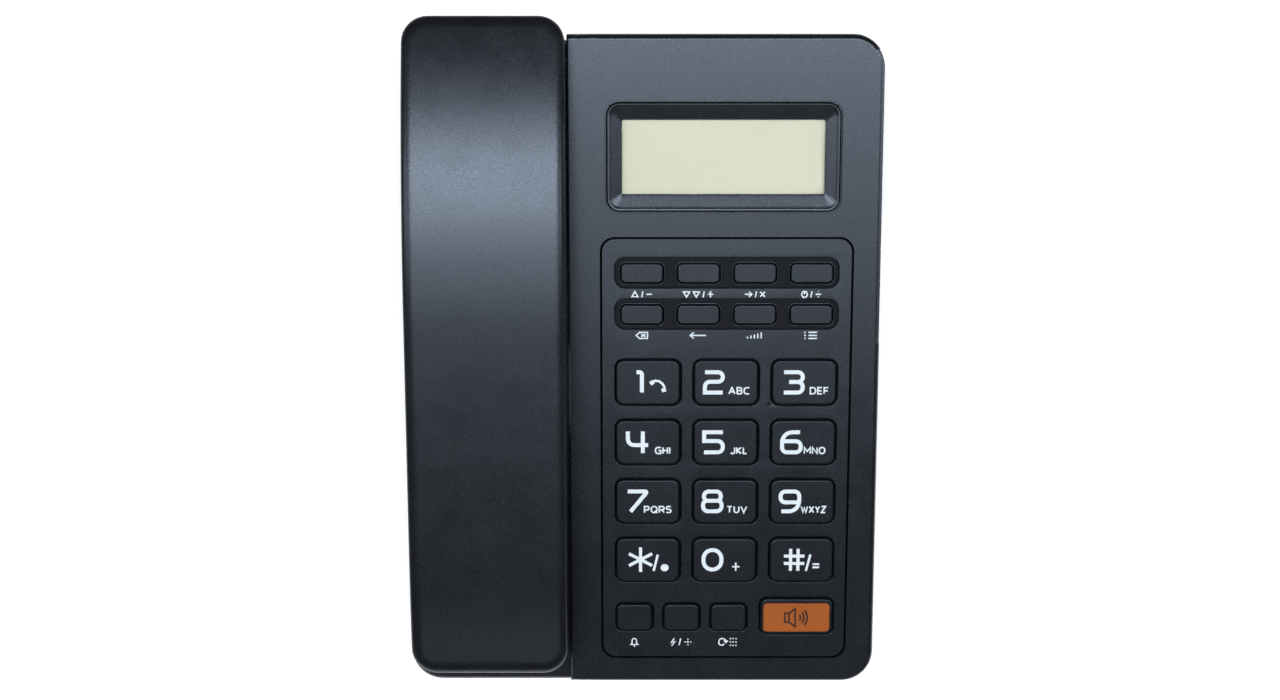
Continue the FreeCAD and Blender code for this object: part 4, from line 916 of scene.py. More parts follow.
class TELEPHONE_OT_handset_back(bpy.types.Operator):
    """Back shell of the handset, with its rolled rim"""

    bl_idname = "telephone.handset_back"
    bl_label = "Handset Back"

    def execute(self, context):
        low, high = box_mm("handset_back")
        middle = ((low.x + high.x) / 2, (low.y + high.y) / 2)
        corner, roll_width, roll_depth, groove, wall = 8.0, 4.0, 1.9, 0.3, 2.2

        def ring(inset, profile, lift=0.0):
            width, length = high.x - low.x - 2 * inset, high.y - low.y - 2 * inset
            radius = max(corner - inset, 0.3)
            return bar_ring(
                middle, width, length, radius, lambda along: world_height(along, profile) + lift
            )

        rings = [ring(groove, parting_height), ring(0, parting_height, groove)]
        for angle in quarter_turn(12):
            inset = roll_width * (1 - math.cos(angle))
            rings.append(ring(inset, bar_height, -roll_depth * (1 - math.sin(angle))))
        work = bmesh.new()
        last = skinned(work, rings)[-1]
        for k in range(len(last) // 2 - 1):
            work.faces.new((last[k], last[k + 1], last[-2 - k], last[-1 - k]))
        made = added("handset_back_work", as_mesh(work, "handset_back"))
        clean(made.data)
        modified(made, "wall", "SOLIDIFY", thickness=wall, offset=-1.0)
        cutter = jack_cutter()
        modified(
            made, "jack_notch", "BOOLEAN", object=cutter, operation="DIFFERENCE", solver="EXACT"
        )
        mesh = evaluated_mesh(made)
        bpy.data.objects.remove(cutter)
        piece(
            "handset_back_shell", mesh, "handset", "housing", ["handset_back"], 40.0,
            placement=WORLD,
        )
        return {"FINISHED"}


def jack_cutter():
    """The room round the handset's jack, cut out of its front wall."""
    low, high = extent(face_points("handset_jack"))
    gap, reach = 0.2, 6
    low = Vector((low[0] - gap, low[1] - reach, low[2] - reach))
    high = Vector((high[0] + gap, high[1] - reach, high[2] + gap))
    work = bmesh.new()
    bmesh.ops.create_cube(work, size=1.0)
    mesh = as_mesh(work, "cutter")
    mesh.transform(Matrix.Translation((low + high) / 2) @ Matrix.Diagonal((*(high - low), 1)))
    mesh.transform(WORLD.inverted() @ FACE)
    return added("cutter", mesh)


class TELEPHONE_OT_handset_inner(bpy.types.Operator):
    """Inner shell of the handset with its two cups"""

    bl_idname = "telephone.handset_inner"
    bl_label = "Handset Inner Shell"

    def execute(self, context):
        shell_copy("handset_inner", "handset_inner_shell", "housing", 0.25)
        return {"FINISHED"}


def opening(key, gap, shift):
    """Outline at a gap round a key, shifted as the photograph's dark lines are."""
    middle, width, length, _ = cap_outline(key)
    size = width + 2 * gap, length + 2 * gap, key_radius(key) + gap
    return rounded_ring(Vector(middle) + shift, *size, 0, 7)


def lay_shade_ring(name, middle, outside, inside, top):
    """Painted shade: a dull black ring laid at the bottom of a narrow gap, where the gap is in
    shade.
    """
    rings = [rounded_ring(middle, *outside, 0, 12), rounded_ring(middle, *inside, 0, 12)]
    mesh = pierced_sheet(rings, top - 0.3, top, 0.03)
    return piece(name, mesh, "base", "strip", (), 50.0, "groove")


class TELEPHONE_OT_keypad_panel(bpy.types.Operator):
    """Flush panel with a rounded opening for each key and strip"""

    bl_idname = "telephone.keypad_panel"
    bl_label = "Keypad Panel"

    def execute(self, context):
        middle, width, length, _ = outline_above("keypad_panel", -PANEL_THICKNESS - 0.1)
        size, corner = (width - PANEL_INSET, length - PANEL_INSET), 4.2
        shade_outline = (width + PANEL_SHADE_REACH, length + PANEL_SHADE_REACH, corner + 0.4)
        rings = [rounded_ring(middle, *size, corner, 0, 12)]
        for node in STRIPS:
            place, wide, long, _ = outline_above(node, -PANEL_THICKNESS + 0.1)
            wide, long = wide + 2 * STRIP_GAP, long + 2 * STRIP_GAP
            rings.append(rounded_ring(place, wide, long, 3.3, 0, 10))
        for node in DIAL_KEYS + SMALL_KEYS + ("key_speaker",):
            rings.append(opening(node, KEY_GAP, GAP_SHIFT))
        microphone = outline_above("hands_free_microphone", -math.inf)[0]
        rings.append(round_ring(microphone, 0.5, 0, 14))
        mesh = pierced_sheet(rings, -PANEL_THICKNESS, 0, 0.18)
        piece("keypad_panel_sheet", mesh, "base", "panel", ["keypad_panel"], 50.0)
        # Painted shade: a dull black ring in the groove round the panel
        lay_shade_ring("keypad_panel_groove_shade", middle, shade_outline, (*size, corner - 0.2), -1.15)
        return {"FINISHED"}


class TELEPHONE_OT_function_strips(bpy.types.Operator):
    """Sunk dark strips with a raised rim round each function key"""

    bl_idname = "telephone.function_strips"
    bl_label = "Function Strips"

    def execute(self, context):
        for node, keys in STRIPS.items():
            place, wide, long, _ = outline_above(node, -PANEL_THICKNESS + 0.1)
            floor, rims = [rounded_ring(place, wide, long, 3.2, 0, 10)], []
            for key in keys:
                hole = opening(key, STRIP_KEY_GAP, STRIP_GAP_SHIFT)
                rim = opening(key, STRIP_KEY_GAP + STRIP_RIM_WIDTH, STRIP_GAP_SHIFT)
                floor.append(hole)
                rims.append(
                    pierced_sheet([rim, hole], -STRIP_DEPTH - 0.6, -STRIP_RIM_SINK, 0.16)
                )
            floor = pierced_sheet(floor, -STRIP_DEPTH - 1.6, -STRIP_DEPTH, 0.1)
            piece(node + "_floor", floor, "base", "strip", [node], 50.0)
            # The rims take the panel's finish, with its painted shade below the face
            piece(node + "_rims", joined_meshes(rims), "base", "strip", (), 50.0, "panel")
        return {"FINISHED"}


class TELEPHONE_OT_display(bpy.types.Operator):
    """Bezel with four sloping walls round the clear pane and the blank display"""

    bl_idname = "telephone.display"
    bl_label = "Display"

    def execute(self, context):
        middle, *full, _ = outline_above("display_bezel", -PANEL_THICKNESS + 0.2)
        _, *pane, bottom = outline_above("display_window", -20)
        pane = [side - 2 * PANE_BORDER for side in pane]
        floor, groove, lip, slope_steps = -1.12, 0.32, 0.8, 6
        rim = [side - 2 * groove for side in full]
        corner = 4.2 - groove
        # Rows of a size, what it grows by, the corner radius and the height
        rows = [
            (rim, -3.4, 2.2, bottom),
            (rim, -3.4, 2.2, -1.5),
            (full, 0, 4.2, -1.5),
            (full, 0, 4.2, -1.2),
            (rim, 0, corner, -1.2),
            (rim, 0, corner, -0.35),
            (rim, -0.12, corner - 0.06, -0.15),
            (rim, -0.4, corner - 0.2, 0.0),
            (rim, 0.4 - 2 * lip, corner - lip + 0.2, 0.0),
            (rim, -2 * lip, corner - lip, -0.08),
            (rim, -2 * lip - 0.3, corner - lip - 0.1, -0.17),
            (pane, 0.3, 0.55, floor),
            (pane, 0.08, 0.5, floor - 0.06),
            (pane, 0, 0.5, floor - 0.25),
            (pane, 0, 0.5, bottom),
        ]
        rows = [(size[0] + grow, size[1] + grow, radius, z) for size, grow, radius, z in rows]
        start, end = rows[10:12]
        rows[11:12] = [
            tuple(a + step / slope_steps * (b - a) for a, b in zip(start, end))
            for step in range(1, slope_steps + 1)
        ]
        rings = [rounded_ring(middle, *row, 12) for row in rows]
        mesh = stacked(rings + [rings[0]], closed=False)
        piece("display_bezel_frame", mesh, "base", "housing", ["display_bezel"], 38.0)
        outside, inside = [side - 0.02 for side in full], [side + 0.02 for side in rim]
        # Painted shade: a dull black ring in the groove round the bezel
        lay_shade_ring("display_bezel_groove_shade", middle, (*outside, 4.2), (*inside, corner), -0.75)
        return {"FINISHED"}


def key_rings(node, edge):
    """Rings of a cap with a rolled top edge, its flange and its stem; its middle and its top."""
    middle, width, length, top = cap_outline(node)
    if node == "key_5":
        # Without the solid's finger dot
        top = cap_outline("key_2")[3]
    points = face_points(node)
    low, high = extent(points)
    flange = high[0] - low[0], high[1] - low[1], 0.3
    levels = [
        round(p.z, 2) for p in points if abs(abs(p.x - middle[0]) * 2 - flange[0]) < 0.05
    ]
    foot_low, foot_high = extent([p for p in points if p.z < low[2] + 0.05])
    stem = foot_high[0] - foot_low[0], foot_high[1] - foot_low[1], 0.3
    radius = key_radius(node)
    rows = [
        (*stem, low[2]),
        (*stem, min(levels)),
        (*flange, min(levels)),
        (*flange, max(levels)),
        (width, length, radius, max(levels)),
        (width, length, radius, -0.1),
        (width, length, radius, top - edge),
    ]
    for angle in quarter_turn(5)[1:]:
        inset = edge * (1 - math.cos(angle))
        size = width - 2 * inset, length - 2 * inset, radius - inset * 0.8
        rows.append((*size, top - edge + edge * math.sin(angle)))
    return [rounded_ring(middle, *row) for row in rows], middle, top


class TELEPHONE_OT_keys(bpy.types.Operator):
    """All push keys with rolled edges"""

    bl_idname = "telephone.keys"
    bl_label = "Keys"

    def execute(self, context):
        edge = context.scene.telephone_keys.edge
        for node in PLAIN_KEYS:
            share = 0.8 if node in UPPER_KEYS + LOWER_KEYS else 1.0
            rings, middle, top = key_rings(node, edge * share)
            mesh = stacked(rings)
            if node == "key_5":
                mesh = joined_meshes([mesh, finger_dot(middle, top)])
            piece(node + "_cap", mesh, node, "key_plastic", [node], 50.0)
        return {"FINISHED"}


def finger_dot(middle, top):
    """The small raised dot that a finger finds on the middle key."""
    centre = (middle[0] + 6.3, middle[1] + 3.5)
    radius, height = 0.45, 0.25
    rings = [round_ring(centre, radius, top - 0.2, 16)]
    for angle in quarter_turn(4)[:-1]:
        rings.append(
            round_ring(centre, radius * math.cos(angle), top + height * math.sin(angle), 16)
        )
    rings.append(round_ring(centre, 0.02, top + height, 16))
    return stacked(rings)


# Radius and height share of the rubber dome under a key
DOME_FORM = ((3.25, 0.0), (2.95, 0.17), (2.45, 0.75), (2.3, 0.9), (2.0, 0.98), (1.6, 1.0))


class TELEPHONE_OT_key_mat(bpy.types.Operator):
    """Rubber mat, with a dome under each key"""

    bl_idname = "telephone.key_mat"
    bl_label = "Key Mat"

    def execute(self, context):
        levels = sorted({round(point.z, 2) for point in face_points("key_mat")})
        sheet_top, dome_top = levels[-2], levels[-1] - 0.02
        mesh = merged_copy("key_mat")
        mesh.transform(FACE.inverted())
        for vertex in mesh.vertices:
            vertex.co.z = min(vertex.co.z, sheet_top)
        piece("key_mat_sheet", mesh, "base", "mat", ["key_mat"])
        for node in PLAIN_KEYS + ("key_speaker",):
            middle = cap_outline(node)[0]
            rings = [round_ring(middle, DOME_FORM[0][0], sheet_top - 0.05, 24)]
            for radius, share in DOME_FORM:
                height = sheet_top + share * (dome_top - sheet_top)
                rings.append(round_ring(middle, radius, height, 24))
            dome = piece(node + "_dome", stacked(rings), "base", "mat")
            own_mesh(dome)
        return {"FINISHED"}


class TELEPHONE_OT_speaker_key(bpy.types.Operator):
    """Loudspeaker key: dark cap, coloured face and its sign"""

    bl_idname = "telephone.speaker_key"
    bl_label = "Loudspeaker Key"

    def execute(self, context):
        middle, width, length, face_top = outline_above("key_speaker_face", -5)
        rings, _, top = key_rings("key_speaker", 0.35)
        seat = top - 0.8
        # How much each ring is larger than the plate, its corner radius and its height
        hollow = ((0.12, 1.3, top), (0.1, 1.3, seat))
        plate = (
            (0, 1.25, seat), (0, 1.25, face_top - 0.2),
            (-0.12, 1.2, face_top - 0.06), (-0.4, 1.1, face_top),
        )
        hollow, plate = (
            [rounded_ring(middle, width + grow, length + grow, r, z) for grow, r, z in rows]
            for rows in (hollow, plate)
        )
        body, slot = "key_speaker", "key_plastic"
        piece("key_speaker_cap", stacked(rings + hollow), body, slot, ["key_speaker"], 50.0)
        piece(
            "key_speaker_plate", stacked(plate), body, "speaker_key", ["key_speaker_face"], 50.0
        )
        x, y = middle
        strokes = [
            sign_stroke([(x - left, y - low), (x - right, y - high),
                         (x - right, y + high), (x - left, y + low)], True)
            for left, low, right, high in ((3.7, 1.5, 2.4, 1.5), (2.4, 1.5, 0.4, 3.0))
        ]
        turns = [math.radians(10.5 * step) for step in range(-4, 5)]
        for radius in (1.5, 2.6, 3.7):
            arc = [(x - 0.2 + radius * math.cos(a), y + radius * math.sin(a)) for a in turns]
            strokes.append(sign_stroke(arc, False))
        mesh = printed(strokes, face_top, "dark_ink")
        piece("key_speaker_sign", mesh, body, slot, (), 30.0, "dark_ink")
        return {"FINISHED"}


def sign_stroke(places, loop, stroke=0.55):
    return mitred([(Vector(place), 0.0) for place in places], loop, stroke), loop


# Key, its figure, where the figure starts left of the key's middle, its letters and their start
DIAL_FIGURES = (
    ("key_1", "1", -4.2, "", 0.0),
    ("key_2", "2", -7.25, "ABC", 0.7),
    ("key_3", "3", -7.0, "DEF", 1.75),
    ("key_4", "4", -6.95, "GHI", 2.2),
    ("key_5", "5", -7.4, "JKL", 1.6),
    ("key_6", "6", -7.3, "MNO", 0.2),
    ("key_7", "7", -7.1, "PQRS", -1.3),
    ("key_8", "8", -7.6, "TUV", 0.5),
    ("key_9", "9", -7.5, "WXYZ", -0.4),
    ("key_star", "*", -6.5, "", 0.0),
    ("key_0", "0", -7.35, "", 0.0),
    ("key_hash", "#", -5.6, "", 0.0),
)
# Further figures on a key: x from its middle, y from the figure's foot, height and stroke
MORE_FIGURES = {
    "key_star": (("/", 1.5, -0.2, 6.2, 0.75),),
    "key_0": (("+", 2.2, 0.0, 3.2, 0.5),),
    "key_hash": (("/", 1.2, -0.2, 6.2, 0.75), ("=", 3.4, 0.3, 3.2, 0.6)),
}
# Signs drawn as open strokes of points: x, y and the stroke's width there
DOT_SIGN = (((-1.25, 0, 0.93), (-0.525, 0, 2.325), (0.525, 0, 2.325), (1.25, 0, 0.93)),)
RECEIVER_SIGN = (
    ((-2.1, 0.75, 0.75), (-1.2, 1.3, 0.75), (0.1, 1.15, 0.75), (1.3, 0.2, 0.75), (1.9, -1.0, 0.75)),
    ((-2.5, 1.2, 1.25), (-1.75, 0.1, 1.25)),
    ((0.95, -1.9, 1.25), (2.25, -1.5, 1.25)),
)
FIGURE_HEIGHT = 7.8
FIGURE_STROKE = 1.27
SLIM_STROKE = 1.0
LETTER_HEIGHT = 2.45
LETTER_STROKE = 0.46
LETTERS_END = 7.6
FIGURE_BOTTOM = -3.85


def open_strokes(x, y, shapes):
    return [
        ([(Vector((x + dx, y + dy)), 0.0, width) for dx, dy, width in row], False) for row in shapes
    ]


def stretched(strokes, left, factor):
    """Strokes made wider or narrower from their left edge, with their thickness kept."""
    def moved(place):
        return Vector((left + (place.x - left) * factor, place.y))

    return [([(moved(place), *more) for place, *more in points], loop) for points, loop in strokes]


class TELEPHONE_OT_figures(bpy.types.Operator):
    """Printed figures and letters on the dial keys"""

    bl_idname = "telephone.figures"
    bl_label = "Dial Figures"

    def execute(self, context):
        for node, figure, left, letters, letters_left in DIAL_FIGURES:
            x, y = cap_outline(node)[0]
            top = cap_outline("key_2" if node == "key_5" else node)[3]
            bottom = y + FIGURE_BOTTOM
            stroke = SLIM_STROKE if figure in "*#" else FIGURE_STROKE
            drop, growth = (0.35, 1.1) if figure == "*" else (0.0, 1.0)
            strokes, _ = figure_strokes(
                figure, x + left, bottom - drop, FIGURE_HEIGHT * growth, stroke
            )
            if figure == "7":
                strokes = stretched(strokes, x + left, 1.15)
            start = x + letters_left
            more, right = text_strokes(letters, start, bottom, LETTER_HEIGHT, LETTER_STROKE, 0.1)
            if len(letters) == 4:
                more = stretched(more, start, (x + LETTERS_END - start) / (right - start))
            strokes += more
            for sign, dx, dy, height, wide in MORE_FIGURES.get(node, ()):
                strokes += figure_strokes(sign, x + dx, bottom + dy, height, wide)[0]
            if node == "key_1":
                strokes += open_strokes(x + 3.4, y - 0.7, RECEIVER_SIGN)
            if node == "key_star":
                strokes += open_strokes(x + 5.4, bottom + 1.25, DOT_SIGN)
            mesh = printed(strokes, top, "ink")
            piece(node + "_figure", mesh, node, "key_plastic", (), 30.0, "ink")
        return {"FINISHED"}


# Signs under the function keys and the small keys: height and drop below the key's middle
SIGN_STROKE = 0.42
SIGN_SIZE, SMALL_SIGN_SIZE = (2.35, 7.9), (2.7, 10.2)
KEY_SIGNS = {
    "key_up": "up / -",
    "key_down": "down down / +",
    "key_out": "out / x",
    "key_set": "set / divide",
    "key_delete": "delete",
    "key_back": "back",
    "key_volume": "volume",
    "key_calls": "list",
    "key_ring": "bell",
    "key_flash": "flash / bright",
    "key_redial": "again grid",
}


class TELEPHONE_OT_panel_signs(bpy.types.Operator):
    """Small printed signs under the function keys and the small keys"""

    bl_idname = "telephone.panel_signs"
    bl_label = "Panel Signs"

    def execute(self, context):
        strokes = []
        for node, signs in KEY_SIGNS.items():
            x, y = cap_outline(node)[0]
            height, drop = SMALL_SIGN_SIZE if node in SMALL_KEYS else SIGN_SIZE
            row = (y - drop, height, SIGN_STROKE, 0.3)
            _, right = text_strokes(signs.split(), 0.0, *row)
            strokes += text_strokes(signs.split(), x - right / 2, *row)[0]
        piece("panel_signs", printed(strokes, 0.0, "ink"), "base", "panel", (), 30.0, "ink")
        return {"FINISHED"}


class TELEPHONE_OT_hook_plunger(bpy.types.Operator):
    """Round plunger of the hook, in the ear well"""

    bl_idname = "telephone.hook_plunger"
    bl_label = "Hook Plunger"

    def execute(self, context):
        top = extent(face_points("hook_plunger"))[1][2]
        centre = outline_above("hook_plunger", top - 0.1)[0]
        shell_copy("hook_plunger", "hook_plunger_stem", "key_plastic", 0.0, 40.0)
        radius, crown = 2.6, 0.18
        rings = [(radius - 0.5, top - 0.35), (radius - 0.55, top)]
        rings += [(radius * share, top + crown * (1 - share)) for share in (0.6, 0.3, 0.02)]
        mesh = stacked([round_ring(centre, *ring) for ring in rings])
        piece("hook_plunger_crown", mesh, "hook", "key_plastic", (), 40.0)
        return {"FINISHED"}


def screw_tree(name):
    """Screws on points: a head with a cross recess, set on each point of the input."""
    tree, given, out = new_group(
        "GeometryNodeTree", name,
        (
            ("Places", "Geometry"), ("Head Radius", "Float", 2.6), ("Head Height", "Float", 1.6),
            ("Turn Seed", "Int"), ("Steel", "Material"),
        ),
        (("Screws", "Geometry"),),
    )
    radius, height = given["Head Radius"], given["Head Height"]
    inputs = {"Vertices": 32, "Radius": radius, "Depth": height}
    head = add(tree, "GeometryNodeMeshCylinder", inputs)[0]
    lift = add(tree, "ShaderNodeCombineXYZ", {"Z": height})[0]
    cross = []
    for size in ((0.22, 1.25, 1.0), (1.25, 0.22, 1.0)):
        inputs = {0: size, "Scale": radius}
        scale = add(tree, "ShaderNodeVectorMath", inputs, operation="SCALE")[0]
        bar = add(tree, "GeometryNodeMeshCube", {"Size": scale})[0]
        inputs = {"Geometry": bar, "Translation": lift}
        cross.append(add(tree, "GeometryNodeTransform", inputs)[0])
    inputs = {"Mesh 1": head, "Mesh 2": cross}
    cut = add(tree, "GeometryNodeMeshBoolean", inputs, operation="DIFFERENCE", solver="EXACT")[0]
    inputs = {0: (0, 0, 0), 1: (0, 0, math.pi), "Seed": given["Turn Seed"]}
    turn = add(tree, "FunctionNodeRandomValue", inputs, data_type="FLOAT_VECTOR")[0]
    inputs = {"Points": given["Places"], "Instance": cut, "Rotation": turn}
    place = add(tree, "GeometryNodeInstanceOnPoints", inputs)[0]
    return painted(tree, place, given["Steel"], out["Screws"])


def screws(name, places, placement, body, radius, height, seed):
    """Screw heads at places given in the placement's frame, in millimetres."""
    mesh = bpy.data.meshes.new(name)
    mesh.from_pydata(places, [], [])
    mesh = grown(name + "_places", mesh, "Set Screws", screw_tree, {
        "Head Radius": radius,
        "Head Height": height,
        "Turn Seed": seed,
        "Steel": MATERIALS["screw"],
    })
    piece(name, mesh, body, "spring", (), 30.0, "screw", placement)


class TELEPHONE_OT_screws(bpy.types.Operator):
    """Screws in the base's and the handset's counterbores"""

    bl_idname = "telephone.screws"
    bl_label = "Screws"

    def execute(self, context):
        low, high = box_mm("bottom_cover")
        wall, side_gap, end_gap, boss_radius, height, seat = 2.5, 3.5, 1.7, 3.6, 1.7, 5.0
        across, along = high.x - wall - side_gap - boss_radius, wall + end_gap + boss_radius
        places = [
            (side * across, y, seat - height / 2)
            for side in (-1, 1)
            for y in (low.y + along, high.y - along)
        ]
        screws("base_screws", places, WORLD, "base", 2.6, height, 3)
        x = outline_above("handset_jack", -math.inf)[0][0]
        mouth_end, ear_end, depth = 44.4, 154.6, -6.3
        places = [(x, mouth_end, depth), (x, ear_end, depth)]
        screws("handset_screws", places, FACE, "handset", 2.2, 1.5, 5)
        return {"FINISHED"}


def contact_tree(name):
    """A row of bent spring wires, spaced along x."""
    tree, given, out = new_group(
        "GeometryNodeTree", name,
        (
            ("Wire", "Geometry"), ("Count", "Int", 4), ("Pitch", "Float", 1.02),
            ("Wire Radius", "Float", 0.2), ("Gold", "Material"),
        ),
        (("Wires", "Geometry"),),
    )
    inputs = {"Curve": given["Wire"], "Count": 4, "Radius": 0.5, "Limit Radius": True}
    turns = add(tree, "GeometryNodeFilletCurve", inputs, mode="POLY")[0]
    inputs = {"Resolution": 8, "Radius": given["Wire Radius"]}
    section = add(tree, "GeometryNodeCurvePrimitiveCircle", inputs)[0]
    inputs = {"Curve": turns, "Profile Curve": section, "Fill Caps": True}
    sweep = add(tree, "GeometryNodeCurveToMesh", inputs)[0]
    count, pitch = given["Count"], given["Pitch"]
    span = maths(tree, "MULTIPLY", maths(tree, "SUBTRACT", count, 1.0), pitch)
    start, step = (
        add(tree, "ShaderNodeCombineXYZ", {"X": x})[0]
        for x in (maths(tree, "MULTIPLY", span, -0.5), pitch)
    )
    inputs = {"Count": count, "Start Location": start, "Offset": step}
    row = add(tree, "GeometryNodeMeshLine", inputs)[0]
    place = add(tree, "GeometryNodeInstanceOnPoints", {"Points": row, "Instance": sweep})[0]
    return painted(tree, place, given["Gold"], out["Wires"])


def contact_wires(name, count, ceiling, placement, body):
    """Gold spring wires that slope into a jack's hollow; its mouth faces -y at y = 0."""
    curve = with_settings(bpy.data.curves.new(name, "CURVE"), dimensions="3D")
    route = ((10.5, 0.35), (9.6, 0.35), (3.0, 3.4), (2.2, 3.2))
    add_line(curve, [(0, depth, ceiling - drop) for depth, drop in route])
    mesh = grown(name + "_wire", curve, "Contact Wires", contact_tree, {
        "Count": count,
        "Pitch": 1.02,
        "Wire Radius": 0.2,
        "Gold": MATERIALS["gold"],
    })
    piece(name, mesh, body, "contact", (), 60.0, "gold", placement)


class TELEPHONE_OT_jack_contacts(bpy.types.Operator):
    """Gold contact wires inside the three jacks"""

    bl_idname = "telephone.jack_contacts"
    bl_label = "Jack Contacts"

    def execute(self, context):
        wall, wires = 1.8, 4
        low, high = box_mm("line_socket")
        rear = Matrix.Translation(((low.x + high.x) / 2, high.y, 0))
        rear = WORLD @ rear @ Matrix.Rotation(math.pi, 4, "Z")
        contact_wires("line_contacts", wires, high.z - wall, rear, "base")
        low, high = box_mm("handset_socket")
        left = Matrix.Translation((low.x, (low.y + high.y) / 2, 0))
        left = WORLD @ left @ Matrix.Rotation(-math.pi / 2, 4, "Z")
        contact_wires("handset_socket_contacts", wires, high.z - wall, left, "base")
        low, high = extent(face_points("handset_jack"))
        front = FACE @ Matrix.Translation(((low[0] + high[0]) / 2, low[1], 0))
        contact_wires("handset_jack_contacts", wires, high[2] - wall, front, "handset")
        return {"FINISHED"}


SMOOTH_NODES = (
    "battery_cells", "loudspeaker", "receiver_capsule", "handset_microphone",
    "microphone_boot", "hands_free_microphone", "hook_spring",
)


class TELEPHONE_OT_inner_parts(bpy.types.Operator):
    """Finishes for the pieces that stay as measured, inside and below"""

    bl_idname = "telephone.inner_parts"
    bl_label = "Inner Parts"

    def execute(self, context):
        slots = {row["node"]: row["material_slot"] for row in frame["record"]["subparts"]}
        for node in SMOOTH_NODES:
            shell_copy(node, node + "_body", slots[node], 0.0, 40.0)
        for node, slot in slots.items():
            shown = frame["nodes"][node]
            if not shown.hide_render:
                shown.data.materials.clear()
                shown.data.materials.append(MATERIALS[slot])
        return {"FINISHED"}


# Stage: each softbox's power setting, width and length, x and y, in metres
SOFTBOXES = {
    "overhead_softbox": ("overhead_power", (1.35, 0.285), (0.0, 0.040)),
    "front_softbox": ("front_power", (1.35, 0.371), (0.0, -0.288)),
    "low_softbox": ("low_power", (1.0, 0.3), (0.0, -1.3)),
    "left_softbox": ("side_power", (1.7, 0.45), (-1.72, -0.05)),
    "right_softbox": ("side_power", (1.7, 0.45), (1.72, -0.05)),
}
SOFTBOX_HEIGHT = 1.35


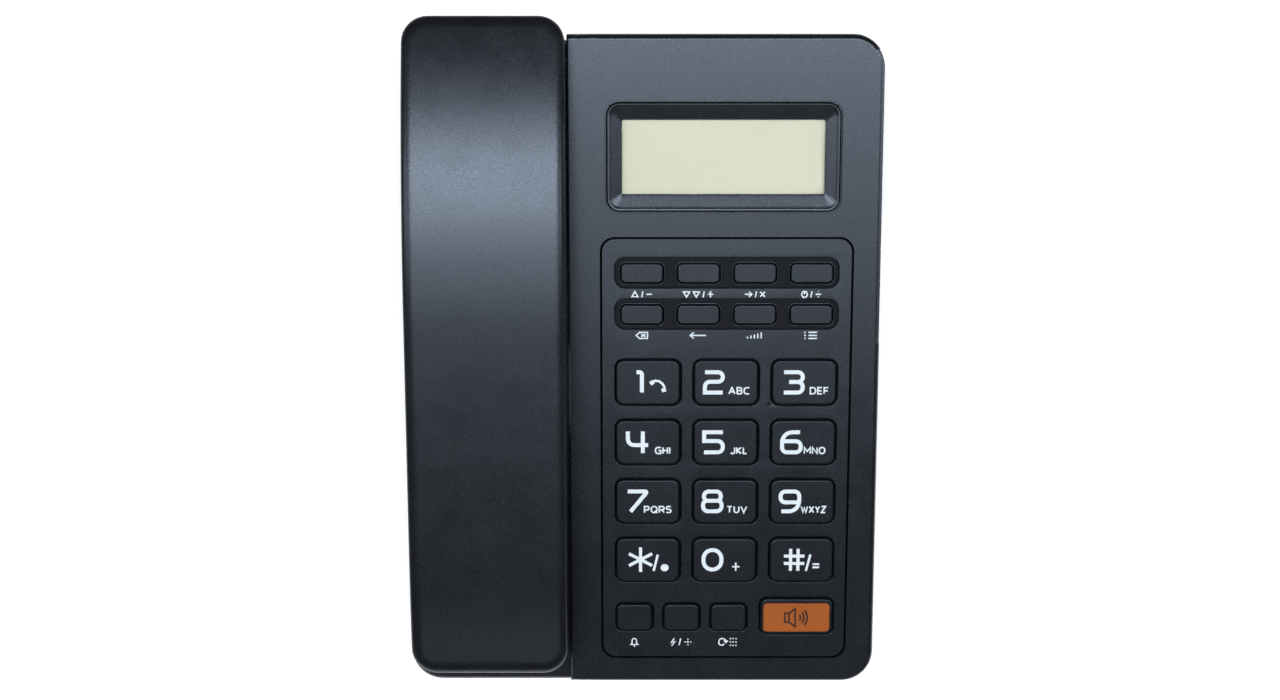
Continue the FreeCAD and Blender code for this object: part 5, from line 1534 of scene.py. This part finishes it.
class TELEPHONE_OT_stage(bpy.types.Operator):
    """Pale floor, soft studio light and the camera straight above"""

    bl_idname = "telephone.stage"
    bl_label = "Stage"

    def execute(self, context):
        scene = context.scene
        settings = scene.telephone_stage
        self.make_floor(tuple(settings.floor_colour))
        for name, (power, size, place) in SOFTBOXES.items():
            lamp = with_settings(
                bpy.data.lights.new(name, "AREA"), shape="RECTANGLE", size=size[0], size_y=size[1],
                energy=getattr(settings, power), color=(0.96, 0.985, 1.0),
            )
            added(name, lamp).location = (*place, SOFTBOX_HEIGHT)
        self.make_world(scene)
        sensor, focal_pixels, frame_pixels = 36.0, 1826.0, 1280.0
        lens = with_settings(
            bpy.data.cameras.new("photo_camera"), sensor_width=sensor,
            lens=sensor * focal_pixels / frame_pixels, clip_start=0.01,
        )
        scene.camera = added("photo_camera", lens)
        scene.camera.location = (-0.5 * MM, 3.6 * MM, settings.camera_height)
        scene.view_settings.view_transform = "Standard"
        return {"FINISHED"}

    def make_floor(self, colour):
        """A wide sheet that also glows a little where the camera sees it."""
        mesh = bpy.data.meshes.new("floor")
        half = 6.0
        corners = [(x * half, y * half, 0) for x, y in ((-1, -1), (1, -1), (1, 1), (-1, 1))]
        mesh.from_pydata(corners, [], [(0, 1, 2, 3)])
        material, tree, vector = new_material("floor_paper")
        path = add(tree, "ShaderNodeLightPath")
        rays = maths(tree, "MAXIMUM", path["Is Glossy Ray"], path["Is Transmission Ray"])
        seen = maths(tree, "MAXIMUM", path["Is Camera Ray"], rays)
        cloud = noise(tree, vector, 3.0)
        surfaced(material, {
            "Base Color": mixed(tree, cloud, scaled(colour, 0.99), scaled(colour, 1.01)),
            "Roughness": 0.9,
            "Specular IOR Level": 0.1,
            "Emission Color": (1, 1, 1, 1),
            "Emission Strength": maths(tree, "MULTIPLY", seen, 0.4),
        })
        mesh.materials.append(material)
        added("floor", mesh)

    def make_world(self, scene):
        """White to the camera, and a faint fill light to the rest."""
        scene.world = bpy.data.worlds.new("studio")
        scene.world.use_nodes = True
        tree = scene.world.node_tree
        seen = add(tree, "ShaderNodeLightPath")["Is Camera Ray"]
        background = tree.nodes["Background"].inputs
        feed(tree, background["Strength"], remapped(tree, seen, 0, 1, 0.03, 1))
        feed(tree, background["Color"], (1.0, 1.0, 1.0, 1.0))


# The add-on's panel and registration

OPERATORS = (
    TELEPHONE_OT_stage,
    TELEPHONE_OT_base_shells,
    TELEPHONE_OT_handset_back,
    TELEPHONE_OT_handset_inner,
    TELEPHONE_OT_keypad_panel,
    TELEPHONE_OT_function_strips,
    TELEPHONE_OT_display,
    TELEPHONE_OT_keys,
    TELEPHONE_OT_key_mat,
    TELEPHONE_OT_speaker_key,
    TELEPHONE_OT_figures,
    TELEPHONE_OT_panel_signs,
    TELEPHONE_OT_hook_plunger,
    TELEPHONE_OT_screws,
    TELEPHONE_OT_jack_contacts,
    TELEPHONE_OT_inner_parts,
)
SETTINGS = {
    "telephone_housing": HousingSettings,
    "telephone_keys": KeySettings,
    "telephone_ink": InkSettings,
    "telephone_display": DisplaySettings,
    "telephone_stage": StageSettings,
}


class TELEPHONE_PT_sidebar(bpy.types.Panel):
    """Settings and steps of the telephone"""

    bl_label = "Telephone"
    bl_idname = "TELEPHONE_PT_sidebar"
    bl_space_type = "VIEW_3D"
    bl_region_type = "UI"
    bl_category = "Telephone"

    def draw(self, context):
        for name, group in SETTINGS.items():
            box = self.layout.box()
            for field in group.__annotations__:
                box.prop(getattr(context.scene, name), field)
        for operator in OPERATORS:
            self.layout.operator(operator.bl_idname)


def register():
    for name, group in SETTINGS.items():
        bpy.utils.register_class(group)
        setattr(bpy.types.Scene, name, bpy.props.PointerProperty(type=group))
    for operator in OPERATORS:
        bpy.utils.register_class(operator)
    bpy.utils.register_class(TELEPHONE_PT_sidebar)


def unregister():
    bpy.utils.unregister_class(TELEPHONE_PT_sidebar)
    for operator in reversed(OPERATORS):
        bpy.utils.unregister_class(operator)
    for name, group in SETTINGS.items():
        delattr(bpy.types.Scene, name)
        bpy.utils.unregister_class(group)


def main():
    register()
    make_materials()
    for operator in OPERATORS:
        group, step = operator.bl_idname.split(".")
        getattr(getattr(bpy.ops, group), step)()


if __name__ == "__main__":
    main()
